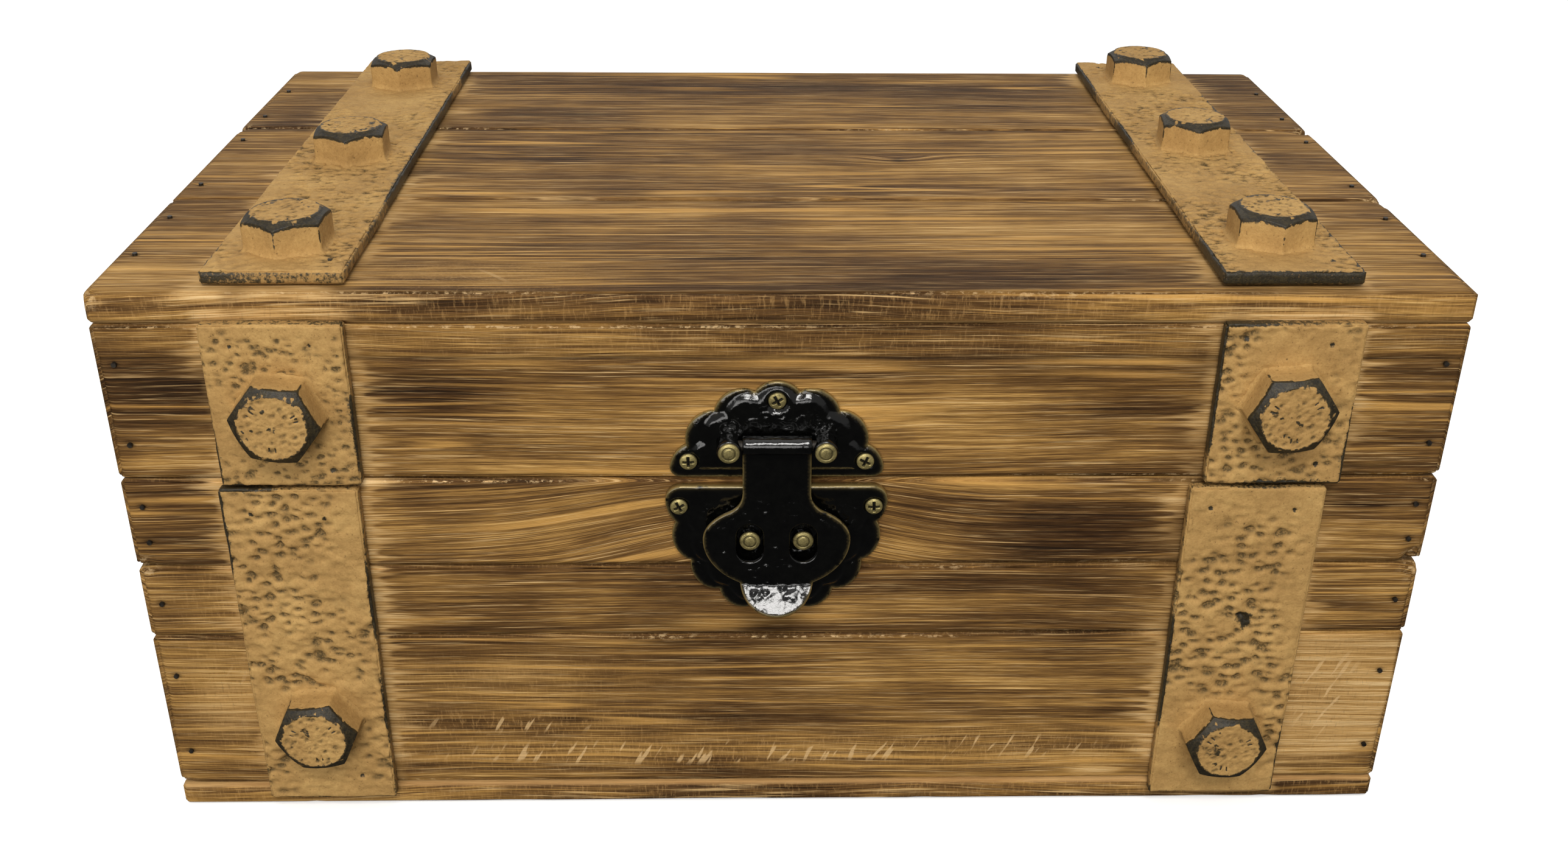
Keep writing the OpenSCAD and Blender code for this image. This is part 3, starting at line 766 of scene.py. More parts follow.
# ---------------------------------------------------------------- straps and bolts


STRAP_EDGE = 0.9  # radius of a strap's edges


def hollows(u, v, wide, tall, seed, spread, size):
    """Small crescent hollows over a surface: how deep each point lies in its nearest one, from 0 to 1."""
    u, v = u / wide, v / tall
    cu, cv = np.floor(u).astype(np.int64), np.floor(v).astype(np.int64)
    deepest = np.zeros(u.shape)
    for di in (-1, 0, 1):
        for dj in (-1, 0, 1):
            i, j = cu + di, cv + dj
            zero = np.zeros_like(i)
            du = u - (i + 0.1 + 0.8 * lattice(i, j, zero, seed))
            dv = v - (j + 0.1 + 0.8 * lattice(i, j, zero + 1, seed))
            dv = dv - 0.35 * du * du
            share = lattice(i, j, zero + 2, seed)
            reach = np.hypot(du, dv) / (size[0] + size[1] * share)
            bowl = smooth(reach, 1.0, 0.15) * (0.45 + 0.55 * smooth(dv, -0.3, 0.25))
            deepest = np.maximum(deepest, bowl * smooth(share, *spread))
    return deepest


def strap(node, outward, seed, rough, grain_size, dents=(), dirt=()):
    """A strap with a cast, hammered face. dents are (along, across, radius, deep) marks in it, and dirt
    (along, across, half length, half width, amount) where dark colour has gathered."""
    f = PlankFrame(node, outward)
    long_axis = int(np.argmax(f.size))
    side_axis = 3 - long_axis - f.out
    steps = [0.0] * 3
    steps[long_axis], steps[side_axis], steps[f.out] = 0.5, 0.5, 0.7
    points, normals, faces = rounded_box(f.low, f.high, steps, STRAP_EDGE)
    along = points[:, long_axis] - f.middle[long_axis]
    across = points[:, side_axis] - f.middle[side_axis]
    outer = smooth(normals @ f.outward, 0.1, 0.7)
    corner = smooth(1 - np.abs(normals).max(1), 0.0, 0.27)
    lumps = fractal(points / grain_size, seed, 3, 0.5)
    warp = 0.9 * lumps
    bowls = hollows(across + warp, along + warp, 1.5 * grain_size, grain_size, seed + 1,
                    spread=(0.0, 0.25), size=(0.45, 0.3))
    worked = smooth(noise(points * 0.06, seed + 2) + 1.3 * spots(along, across, dirt), -0.5, 0.7)
    smoothed = smooth(noise(points * 0.09, seed + 7), -0.9, 0.1)
    relief = np.clip(0.78 + (0.18 + 0.3 * worked) * lumps - 0.7 * bowls * worked * smoothed, 0, 1)
    waver = noise(points * 0.05, seed + 3) + 0.5 * noise(points * 0.17, seed + 4)
    sink = 0.05 + outer * rough * (1 - relief) + corner * (0.18 + 0.3 * (waver > 0.4))
    sink += (1 - outer) * (0.22 + 0.16 * waver)
    moved = points - normals * sink[:, None]
    dark_hollow = np.zeros(len(points))
    for at, over, radius, deep in dents:
        away = np.hypot(along - at, across - over) / radius
        dark_hollow = np.maximum(dark_hollow, outer * np.exp(-(away**2)))
        moved -= (deep * outer * np.exp(-(away**2)))[:, None] * f.outward
    gap = np.minimum(f.size[side_axis] / 2 - np.abs(across), f.size[long_axis] / 2 - np.abs(along))
    patchy = smooth(noise(points * 0.06, seed + 5), -0.35, 0.5)
    inner_side = np.sign(-f.middle[X]) * normals[:, X]
    # Painted shade with dark paint: the sides and ends are darkened, more on the sides that face the box's
    # middle.
    rub = (0.25 + 0.22 * patchy) * (1 - outer) + 0.1 * smooth(inner_side, 0.3, 0.9)
    rub += 0.75 * np.exp(-gap) * patchy * outer
    # Darker again on the ends that face forward and upward.
    rub += 0.14 * smooth(-normals[:, Y], 0.4, 0.9) * (1 - outer)
    rub += 0.1 * smooth(normals[:, Z], 0.4, 0.9) * (1 - outer)
    rub += 0.7 * dark_hollow + 0.22 * np.clip(spots(along, across, dirt), 0, 1) * outer
    new_piece("iron_" + node, moved, faces, strap_coat, node, relief=relief, rub=np.clip(rub, 0, 1))


def end_pits(half_length, seed, gap=7.0, over=9.5):
    """A few small nail pits near a strap's ends, not quite in line."""
    pits = []
    for number, (end, side) in enumerate([(1, -1), (-1, 1), (1, 1), (-1, -1)][:3]):
        stray = 4 * lattice(np.array([number, number]), np.array([1, 2]), np.array([0, 0]), seed) - 2
        pits.append((end * (half_length - gap) + stray[0], side * over + stray[1], 0.75, 0.5))
    return pits


def make_straps():
    """The six straps, with nail pits near their ends and a chipped spot in the right body strap."""
    nick = [(9, 1.6, 1.5, 0.9), (7.5, 2.0, 1.2, 0.9), (10, 0.4, 1.0, 0.7)]
    strap("left_body_strap", OUTWARD["front"], 201, 1.5, 2.4, end_pits(47, 201), [(14, -3, 24, 15, 0.9)])
    strap("right_body_strap", OUTWARD["front"], 211, 1.5, 2.6, end_pits(47, 211) + nick,
          [(6, 0, 26, 16, 1.0)])
    strap("left_lid_strap", OUTWARD["front"], 223, 0.7, 2.0, end_pits(21, 223, 5), [(4, 14, 16, 3, 0.9)])
    strap("right_lid_strap", OUTWARD["front"], 229, 1.2, 2.2, end_pits(21, 229, 5),
          [(-14, 2, 8, 16, 1.0), (12, -2, 6, 14, 0.5)])
    strap("left_top_strap", UP, 233, 1.3, 1.8, end_pits(95, 233), [(-20, 6, 60, 14, 0.9)])
    strap("right_top_strap", UP, 241, 1.3, 1.8, end_pits(95, 241), [(-20, 0, 70, 16, 0.9)])


def hex_reach(angle, apothem, soften):
    """Distance from the middle to a hexagon's side, with softened corners."""
    sector = (angle + np.pi / 6) % (np.pi / 3) - np.pi / 6
    sharp = apothem / np.cos(sector)
    return apothem + (sharp - apothem) * (1 - soften * smooth(np.abs(sector), 0.36, np.pi / 6))


BOLT_FOOT = 0.9  # how far a bolt head's mesh reaches below its strap's nominal face


def bolt_mesh(apothem, height, seed):
    """A worn hex head standing on z = 0, its foot sunk a little below: its points, faces, relief and rub."""
    around = 180
    angle = full_turn(around)
    reach = hex_reach(angle, apothem, 0.05)
    which = np.round(angle / (np.pi / 3)).astype(int) % 6
    marked = lattice(np.arange(6), np.full(6, seed), np.full(6, 3), 5)[which] > 0.45
    corner = smooth(reach / apothem, 1.115, 1.145) * marked
    chamfer_start = 0.88 * apothem
    rings, rubs, sides = [], [], []
    for share in np.concatenate([np.linspace(0.04, 0.93, 23), [0.965, 1.0]]):
        rings.append((np.full(around, chamfer_start * share), np.full(around, height)))
        rubs.append(np.full(around, 0.55 * smooth(share, 0.88, 1.0)))
        sides.append(0)
    for share in (0.15, 0.4, 0.65, 0.85, 0.95, 1.0):
        radius = chamfer_start + (reach - chamfer_start) * share
        drop = 0.25 * smooth(share, 0, 0.2) + (radius - chamfer_start) * math.tan(math.radians(30))
        rings.append((radius, height - drop - 0.15 * (share == 1.0)))
        rubs.append(np.full(around, 0.62 + 0.4 * smooth(share, 0.1, 0.7)))
        sides.append(0)
    top_of_side = rings[-1][1] + BOLT_FOOT
    for share in np.concatenate([[0.03, 0.08], np.linspace(0.15, 1, 15)]):
        level = top_of_side * (1 - share) - BOLT_FOOT
        flare = 0.5 * np.exp(-(level + 0.3) / 0.55)
        rings.append((reach + 0.08 * (share > 0.05) + flare, level))
        rubs.append(np.maximum(math.exp(-share / 0.08), 0.62 * corner * smooth(share, 0.85, 0.4)))
        sides.append(1)
    flat = [np.stack([r * np.cos(angle), r * np.sin(angle), z], -1) for r, z in rings]
    flat = np.concatenate(flat)
    is_side = np.repeat(np.array(sides), around)
    rough = fractal(flat / 1.3, seed, 3, 0.6)
    pits = hollows(flat[:, 0], flat[:, 1] + 0.4 * flat[:, 2], 2.4, 1.7, seed + 1,
                   spread=(0.0, 0.4), size=(0.4, 0.3)) * (1 - is_side)
    radius = np.linalg.norm(flat[:, :2], axis=1)
    outward = flat * np.array([1, 1, 0]) / np.maximum(radius, 1)[:, None]
    direction = np.where(is_side[:, None] > 0, outward, np.array([0, 0, 1.0]))
    inner = smooth(radius, chamfer_start, 0.9 * chamfer_start) * (1 - is_side)
    ticks = struck_ticks(flat, chamfer_start) * inner
    amount = 0.08 * rough + inner * (0.22 * rough - 0.22 * pits - 0.3 * ticks)
    flat = flat + direction * amount[:, None]
    blotchy = fractal(flat / 2.2, seed + 2, 3, 0.7)
    rub = np.concatenate(rubs) - 0.55 * smooth(blotchy, 0.1, 0.5) + 0.5 * smooth(blotchy, -0.1, -0.5) * inner
    rub += 0.7 * ticks
    verts, faces = ring_mesh(flat.reshape(len(rings), around, 3))
    extra = len(verts) - len(rub)
    relief = np.concatenate([0.75 + 0.4 * rough * (1 - is_side) - 0.4 * pits * inner, np.full(extra, 0.7)])
    return verts, faces, relief, np.concatenate([np.clip(rub, 0, 1), np.zeros(extra)])


def struck_ticks(flat, reach):
    """Pairs of short radial strokes struck into a head's face, like plain grade marks."""
    angle = np.arctan2(flat[:, 1], flat[:, 0])
    radius = np.hypot(flat[:, 0], flat[:, 1])
    total = 0
    for turned in (-0.13, 0.13):
        near = np.abs((angle + turned + np.pi / 3) % (2 * np.pi / 3) - np.pi / 3) * radius
        total = total + smooth(near, 0.26, 0.12)
    between = smooth(radius, 0.62 * reach, 0.66 * reach) * smooth(radius, 0.82 * reach, 0.78 * reach)
    return np.clip(total, 0, 1) * between


def bolts(node, outward, seed):
    """Every head of a CAD bolt node, each turned as its own CAD head is."""
    f = PlankFrame(node, outward)
    points = node_points(node)
    strap_face = STRAP_BOXES["left_top_strap"][1][Z] if f.out == Z else STRAP_BOXES["left_lid_strap"][0][Y]
    height = abs(f.face - strap_face)
    side_a, side_b = (X, Y) if f.out == Z else (X, Z)
    on_strap = points[np.abs(points[:, f.out] - strap_face) < SAME_LEVEL]
    meshes, reliefs, rubs = [], [], []
    for group in clusters(on_strap, 24.0):
        flat = group[:, [side_a, side_b]]
        centre = (flat.max(0) + flat.min(0)) / 2
        away = np.linalg.norm(flat - centre, axis=1)
        rim = flat[away > 0.97 * away.max()] - centre
        turn = math.atan2(rim[0][1], rim[0][0]) + np.pi / 6
        corners = away.max()
        verts, faces, relief, rub = bolt_mesh(corners * math.cos(np.pi / 6), height, seed + len(meshes))
        cos, sin = math.cos(turn), math.sin(turn)
        placed = np.zeros_like(verts)
        placed[:, side_a] = centre[0] + verts[:, 0] * cos - verts[:, 1] * sin
        placed[:, side_b] = centre[1] + verts[:, 0] * sin + verts[:, 1] * cos
        placed[:, f.out] = strap_face + f.sign * verts[:, 2]
        meshes.append((placed, faces))
        reliefs.append(relief)
        rubs.append(rub)
    verts, faces = joined(meshes)
    new_piece("iron_" + node, verts, faces, strap_coat, node,
              relief=np.concatenate(reliefs), rub=np.concatenate(rubs))


def make_bolts():
    bolts("body_strap_bolts", OUTWARD["front"], 301)
    bolts("lid_strap_bolts", OUTWARD["front"], 311)
    bolts("top_strap_bolts", UP, 321)


# ---------------------------------------------------------------- latch

JOINTS = {joint["name"]: joint for joint in BEHAVIOUR["joints"]}
FRONT = node_box("front_lower_plank")[0][Y]
LID_SEAM = node_box("lid_front_board")[0][Z]
HASP_PIN = np.array(JOINTS["hasp_hinge"]["pos_m"]) / MM
HANG = math.radians(-JOINTS["hasp_hinge"]["range_deg"][0])
LATCH_X = HASP_PIN[X]


def on_front(across, up, out):
    """Points in the shared frame, from their distance across from the latch's middle, their height, and
    how far out they stand from the box's front."""
    across, up, out = np.broadcast_arrays(across, up, out)
    return np.stack([LATCH_X + across, FRONT - out, up], -1)


def scallops(radii, middle_z, lobe_angle, lobe_centre, edge_z):
    """A scalloped oval cut by a level edge, as a loop of (across, up). The lobe centred at 90 degrees
    makes the upper half, and at 270 degrees the lower half."""
    swell, corner_rounding = 0.085, 2.6
    upward = lobe_centre == 90
    turned = np.arange(0, 360, 0.1) + (-90 if upward else 90)
    angle = np.radians(turned)
    lobe = np.abs(np.cos(np.pi * (turned - lobe_centre) / lobe_angle)) ** 0.7
    across = radii[0] * (1 + swell * lobe) * np.cos(angle)
    up = middle_z + radii[1] * (1 + swell * lobe) * np.sin(angle)
    kept = up > edge_z if upward else up < edge_z
    points = np.stack([across, up], -1)[kept]
    closing = np.linspace(points[-1], points[0], 120)[1:-1]
    return round_corners(np.vstack([points, closing]), len(points), corner_rounding)


def round_corners(loop, corner_from, reach):
    """Rounds the two corners where a loop's curved part, its first corner_from points, meets its edge."""
    smoothed = loop.copy()
    step = np.linalg.norm(np.diff(loop, axis=0, append=loop[:1]), axis=1)
    for corner in (corner_from - 1, 0):
        walked_forward = np.cumsum(np.roll(step, -corner))
        ahead = (corner + 1 + int(np.searchsorted(walked_forward, reach))) % len(loop)
        walked_back = np.cumsum(np.roll(step[::-1], corner))
        behind = (corner - 1 - int(np.searchsorted(walked_back, reach))) % len(loop)
        count = (ahead - behind) % len(loop)
        for k in range(1, count):
            t = k / count
            smoothed[(behind + k) % len(loop)] = (
                (1 - t) ** 2 * loop[behind] + 2 * t * (1 - t) * loop[corner] + t**2 * loop[ahead])
    return smoothed


def resampled(loop, step):
    """The same closed loop with even steps."""
    closed = np.vstack([loop, loop[:1]])
    length = np.concatenate([[0], np.cumsum(np.linalg.norm(np.diff(closed, axis=0), axis=1))])
    count = max(8, int(length[-1] / step))
    places = np.arange(count) * length[-1] / count
    return np.stack([np.interp(places, length, closed[:, k]) for k in (0, 1)], -1)


def is_inside(points, loop):
    """Even-odd test of points against a closed loop."""
    x, y = points[:, 0][:, None], points[:, 1][:, None]
    ax, ay = loop[:, 0][None], loop[:, 1][None]
    bx, by = np.roll(loop[:, 0], -1)[None], np.roll(loop[:, 1], -1)[None]
    rises = np.where(np.abs(by - ay) < 1e-12, 1e-12, by - ay)
    crosses = ((ay > y) != (by > y)) & (x < (bx - ax) * (y - ay) / rises + ax)
    return crosses.sum(1) % 2 == 1


def loop_distance(points, loop):
    """Distance of points from a closed loop."""
    a, b = loop, np.roll(loop, -1, axis=0)
    d = b - a
    along = np.einsum("ij,kij->ki", d, points[:, None] - a[None]) / np.maximum((d * d).sum(1), 1e-12)
    nearest = a + np.clip(along, 0, 1)[..., None] * d
    return np.linalg.norm(points[:, None] - nearest, axis=2).min(1)


def sheet_mesh(outline, holes, spacing, seed):
    """A flat sheet with holes as triangles. Returns its points, its triangles, the point numbers round
    each of its edges, and each point's distance from the nearest edge."""
    loops = [resampled(loop, 0.38) for loop in [outline] + holes]
    low, high = outline.min(0), outline.max(0)
    rows = np.arange(low[1], high[1], spacing * 0.87)
    lines = []
    for k, row in enumerate(rows):
        across = np.arange(low[0] + spacing * 0.5 * (k % 2), high[0], spacing)
        lines.append(np.stack([across, np.full_like(across, row)], -1))
    grid = np.concatenate(lines)
    level = 0 * grid[:, :1]
    stray = [noise(np.c_[grid * 3.1, level], seed), noise(np.c_[grid * 2.7, level], seed + 1)]
    grid += spacing * 0.12 * np.stack(stray, -1)
    keep = is_inside(grid, loops[0])
    for hole in loops[1:]:
        keep &= ~is_inside(grid, hole)
    grid = grid[keep]
    away = np.min([loop_distance(grid, loop) for loop in loops], axis=0)
    grid = grid[away > 0.62]
    rims = []
    for number, loop in enumerate(loops):
        ahead = np.roll(loop, -1, axis=0) - np.roll(loop, 1, axis=0)
        inward = np.stack([-ahead[:, 1], ahead[:, 0]], -1) / np.linalg.norm(ahead, axis=1, keepdims=True)
        area = 0.5 * np.sum(loop[:, 0] * np.roll(loop[:, 1], -1) - np.roll(loop[:, 0], -1) * loop[:, 1])
        inward *= np.sign(area) * (1 if number == 0 else -1)
        for reach in (0.14, 0.36):
            rim = loop + inward * reach
            fair = np.min([loop_distance(rim, other) for other in loops], axis=0) > 0.8 * reach
            rims.append(rim[fair])
    points = np.vstack(loops + rims + [grid])
    edges, start, rings = [], 0, []
    for loop in loops:
        ids = np.arange(start, start + len(loop))
        edges += list(zip(ids.tolist(), np.roll(ids, -1).tolist()))
        rings.append(ids)
        start += len(loop)
    made = delaunay_2d_cdt([Vector(p) for p in points.tolist()], edges, [], 0, 1e-7)
    verts = np.array([tuple(v) for v in made[0]])
    triangles = np.array([f for f in made[2] if len(f) == 3])
    source = {old: new for new, olds in enumerate(made[3]) for old in olds}
    rings = [np.array([source[i] for i in ring]) for ring in rings]
    middle = verts[triangles].mean(1)
    keep = is_inside(middle, loops[0])
    for hole in loops[1:]:
        keep &= ~is_inside(middle, hole)
    distance = np.min([loop_distance(verts, loop) for loop in loops], axis=0)
    return verts, triangles[keep], rings, distance


def sheet_solid(flat, triangles, rings, front, back):
    """Closes a sheet: front and back are the (n, 3) places of its two sides."""
    count = len(flat)
    faces = [tuple(t) for t in triangles] + [tuple(t[::-1] + count) for t in triangles]
    directed = {(int(t[i]), int(t[(i + 1) % 3])) for t in triangles for i in range(3)}
    for ring in rings:
        for i, j in zip(ring, np.roll(ring, -1)):
            i, j = int(i), int(j)
            if (i, j) in directed:
                faces.append((j, i, i + count, j + count))
            else:
                faces.append((i, j, j + count, i + count))
    return np.vstack([front, back]), faces


def flowers(across, up, seed):
    """Raised scrolls and petals, a plain floral pattern, from 0 to 1."""
    near, number = cells(across, up, 5.2, seed)
    swirl = np.sin(near * 26 + 6.3 * number)
    petals = smooth(swirl, 0.35, 0.9) * smooth(near, 0.62, 0.35)
    vein_field = fractal(np.stack([across * 0.33, up * 0.33, 0 * up], -1), seed + 1, 2)
    veins = smooth(np.abs(vein_field), 0.10, 0.02)
    return np.clip(0.75 * petals + 0.6 * veins, 0, 1)


def post(across, up, radius, height):
    """A short round post standing on a plate, with a soft foot and a rounded rim."""
    foot, foot_top = 1.1, 2.2
    angle = full_turn(48)
    profile = [
        (radius + foot, 1.0), (radius + 0.45 * foot, 1.35), (radius + 0.12 * foot, foot_top),
        (radius, 0.5 * (foot_top + height)),
        (radius, height - 0.35), (radius - 0.12, height - 0.1), (radius - 0.4, height),
    ]
    rings = [on_front(across + r * np.cos(angle), up + r * np.sin(angle), h) for r, h in profile]
    return ring_mesh(rings)


SCREW_SEAT = 1.2  # how far the seats under the latch's screws stand out from the box's front


def plate(node, outline, screw_places, post_places, post_radius, post_height, seed, wrinkle=0.05,
          flush=False):
    """A domed, embossed latch plate with a stepped inner field, screw seats and posts. A flush plate's
    field runs out to its straight side."""
    centre = outline.mean(0)
    flat, triangles, rings, edge = sheet_mesh(outline, [], 0.5, seed)
    field = centre + (outline - centre) * 0.80
    inner = loop_distance(flat, field) * np.where(is_inside(flat, field), 1, -1)
    straight_side = outline[np.argmin(np.abs(outline[:, 1] - LID_SEAM)), 1]
    curved = smooth(np.abs(flat[:, 1] - straight_side), 3.0, 7.5) if flush else np.ones(len(flat))
    level = 1.5 - curved * (0.55 * smooth(edge, 2.6, 0.0) + 0.30 * np.exp(-((inner + 0.9) / 0.5) ** 2))
    level += 0.55 - 0.55 * curved * smooth(inner, 0.9, -0.5) + 0.30 * curved * smooth(inner, 1.2, 6.0)
    level -= 0.5 * rounded_fall(edge / 0.5)
    emboss = flowers(flat[:, 0], flat[:, 1], seed + 2) * smooth(inner, 0.8, 2.2)
    rippled = fractal(np.c_[flat / 1.7, 0 * flat[:, :1]], seed + 3, 2) * smooth(inner, 0.6, 1.6)
    level += 0.28 * emboss + wrinkle * rippled
    for at, over in screw_places:
        away = np.hypot(flat[:, 0] - at, flat[:, 1] - over)
        seat = smooth(away, 3.0, 2.2)
        level = level * (1 - seat) + SCREW_SEAT * seat
    front = on_front(flat[:, 0], flat[:, 1], level)
    back = on_front(flat[:, 0], flat[:, 1], 0.0)
    verts, faces = sheet_solid(flat, triangles, rings, front, back)
    rubs = [1.1 * np.exp(-edge / 0.2), np.exp(-edge / 0.2)]
    meshes = [(verts, faces)]
    for at, over in post_places:
        meshes.append(post(at, over, post_radius, post_height))
        rubs.append(np.zeros(len(meshes[-1][0])))
    verts, faces = joined(meshes)
    new_piece("plate_" + node, verts, faces, black_enamel, node, rub=np.clip(np.concatenate(rubs), 0, 1))


def button(across, up, base, radius, height, recess, turn):
    """A round domed head, with a cross-shaped recess for a screw or a ringed top for a rivet. Returns its
    points, faces and how dark each point is: painted shade round its foot and in the recess, and a darker ring."""
    around = 72
    angle = full_turn(around)
    shares = np.concatenate([np.linspace(0.04, 0.9, 22), [0.95, 0.985, 1.0, 1.0]])
    rings, darks = [], []
    for k, share in enumerate(shares):
        x, y = radius * share * np.cos(angle), radius * share * np.sin(angle)
        level = height * np.sqrt(np.clip(1 - (share * 0.86) ** 2, 0, 1)) * np.ones(around)
        level = level * (1 if share < 0.95 else 1 - (share - 0.95) * 9)
        if k == len(shares) - 1:
            level = level * 0
        # Painted shade: darker round the head's foot, and below in the cross recess. A rivet's ring is darker
        # too.
        dark = np.full(around, 0.5 * smooth(share, 0.9, 1.0))
        if recess:
            cross_x = np.abs(x * math.cos(turn) + y * math.sin(turn))
            cross_y = np.abs(y * math.cos(turn) - x * math.sin(turn))
            arm = 0
            for aside, outwards in ((cross_x, cross_y), (cross_y, cross_x)):
                narrow = smooth(aside, recess * 1.3, recess * 0.8)
                arm = np.maximum(arm, narrow * smooth(outwards, 0.7 * radius, 0.55 * radius))
            level = level - 0.8 * height * arm
            dark = np.maximum(dark, arm)
        else:
            ringed = smooth(abs(share - 0.58), 0.12, 0.03)
            level = level - 0.18 * height * ringed
            dark = np.maximum(dark, 0.55 * ringed)
        rings.append(on_front(across + x, up + y, base + level))
        darks.append(dark)
    verts, faces = ring_mesh(rings[::-1])
    return verts, faces, np.concatenate(darks[::-1] + [[0.5, 1.0 if recess else 0.0]])


def buttons(node, places, base, radius, height, material, recess=None):
    """All the heads of one CAD fastener node."""
    made = [
        button(at, over, base, radius, height, recess, 0.5 + 1.1 * k)
        for k, (at, over) in enumerate(places)
    ]
    verts, faces = joined([mesh[:2] for mesh in made])
    darks = np.concatenate([mesh[2] for mesh in made])
    new_piece("fitting_" + node, verts, faces, material, node, rub=darks)


def latch_places(node):
    """(across, up) of each separate piece of a CAD fastener node."""
    groups = clusters(node_points(node)[:, [X, Z]], 6.0)
    return [((g.max(0) + g.min(0)) / 2) - np.array([LATCH_X, 0]) for g in groups]


def flap_outline():
    """The hasp's flap: neck, rounded shoulders, oval and lip, as (across, drop) with drop measured down
    from the pin."""
    neck, fillet_from, fillet_to = 8.2, 13.0, 12.2
    wide, upper, lower, widest = 17.9, 9.6, 13.6, 25.6
    lip_half, lip_end = 8.9, 46.6

    def shoulder_drop(across):
        return widest - upper * math.sqrt(1 - (across / wide) ** 2)

    t = np.linspace(0, 1, 14)[:, None]
    start, meet = np.array([neck, fillet_from]), np.array([neck, shoulder_drop(neck)])
    end = np.array([fillet_to, shoulder_drop(fillet_to)])
    fillet = (1 - t) ** 2 * start + 2 * t * (1 - t) * meet + t**2 * end
    angle = np.linspace(math.acos(fillet_to / wide), 0, 24)[1:]
    over = np.stack([wide * np.cos(angle), widest - upper * np.sin(angle)], -1)
    angle = np.linspace(0, math.acos(lip_half / wide), 30)[1:]
    under = np.stack([wide * np.cos(angle), widest + lower * np.sin(angle)], -1)
    lip_from = under[-1][1]
    angle = np.linspace(0, np.pi / 2, 30)[1:]
    lip = np.stack([lip_half * np.cos(angle), lip_from + (lip_end - lip_from) * np.sin(angle)], -1)
    half = np.vstack([[[neck, 1.2]], fillet, over, under, lip])
    return np.vstack([half, half[::-1][1:] * [-1, 1]])


def slot_outline(side):
    """The slot in the flap for the stud on one side (-1 or 1), as (across, drop)."""
    half_wide, half_tall, drop, stud_across = 3.35, 5.2, 26.5, 6.5
    angle = np.linspace(0, np.pi, 16)
    top = np.stack([half_wide * np.cos(angle), (half_wide - half_tall) - half_wide * np.sin(angle)], -1)
    return np.vstack([top, -top]) + [side * stud_across, drop]


def hasp():
    """The hasp's bent sheet and rolled barrel, hung from its pin."""
    slots = [slot_outline(-1), slot_outline(1)]
    flat, triangles, rings, edge = sheet_mesh(flap_outline(), slots, 0.55, 401)
    across, drop = flat[:, 0], flat[:, 1]
    rounding = 0.3 * rounded_fall(edge / 0.42)
    emboss = flowers(across, drop, 407) * smooth(edge, 1.4, 2.8)
    emboss *= smooth(drop, 12, 16) * smooth(drop, 39, 37)
    groove = np.exp(-((edge - 1.5) / 0.3) ** 2) * smooth(drop, 14, 18) * smooth(drop, 38.5, 37)
    sheet = 1.2
    back_out = -2.3
    bend_at, bend_angle = 37.4, math.radians(38)
    past = np.maximum(drop - bend_at, 0)
    curl = 2.4
    turn = np.minimum(past / curl, bend_angle)
    straight = np.maximum(past - curl * bend_angle, 0)
    lip_out = curl * (1 - np.cos(turn)) + straight * np.sin(bend_angle)
    lip_down = np.minimum(drop, bend_at) + curl * np.sin(turn) + straight * np.cos(bend_angle)
    rippled = fractal(np.c_[flat / 1.4, 0 * flat[:, :1]], 409, 2) * smooth(edge, 0.2, 0.8)
    lip_marks = 0.4 * smooth(drop, 38, 39.5) * smooth(drop, 44, 40) * (0.4 + smooth(rippled, 0, 0.4))
    thick_front = sheet - rounding + 0.26 * emboss - 0.12 * groove + (0.04 + lip_marks) * rippled
    front_out = back_out + lip_out + thick_front * np.cos(turn)
    front_down = lip_down - thick_front * np.sin(turn)
    back_sheet = back_out + lip_out + rounding * 0.5

    def hung(out, down, at):
        """Points in the shared frame, from how far out and down from the pin they lie on the flap."""
        cos, sin = math.cos(HANG), math.sin(HANG)
        return np.stack([
            LATCH_X + at,
            HASP_PIN[Y] - (out * cos + down * sin),
            HASP_PIN[Z] - (down * cos - out * sin),
        ], -1)

    front = hung(front_out, front_down, across)
    back = hung(back_sheet, lip_down, across)
    verts, faces = sheet_solid(flat, triangles, rings, front, back)
    rim = np.exp(-loop_distance(flat, flap_outline()) / 0.14)
    rubs = [rim, rim]

    angle = full_turn(56)
    outer, bore, half, rounded = 2.3, 1.25, 8.2, 0.25
    profile = [(-half, bore), (-half, outer - rounded), (-half + rounded, outer)]
    profile += [(at, outer) for at in np.linspace(-half + 1, half - 1, 9)]
    profile += [(half - rounded, outer), (half, outer - rounded), (half, bore)]
    rolls = [hung(r * np.sin(angle), r * np.cos(angle), at + 0 * angle) for at, r in profile]
    roll_verts, roll_faces = ring_mesh(rolls + rolls[:1], closed=False)
    rubs.append(np.zeros(len(roll_verts)))
    verts, faces = joined([(verts, faces), (roll_verts, roll_faces)])
    new_piece("hasp_flap", verts, faces, black_enamel, "hasp", rub=np.concatenate(rubs))


def rod(name, node, centre, half_length, radius, material):
    """A pin along X with rounded ends."""
    angle = full_turn(32)
    end = [(half_length, 0.6), (half_length - 0.1, 0.9), (half_length - 0.3, 1)]
    rings = []
    for at, share in [(-at, share) for at, share in end] + end[::-1]:
        ring = [at + 0 * angle, share * radius * np.cos(angle), share * radius * np.sin(angle)]
        rings.append(centre + np.stack(ring, -1))
    verts, faces = ring_mesh(rings)
    new_piece(name, verts, faces, material, node)


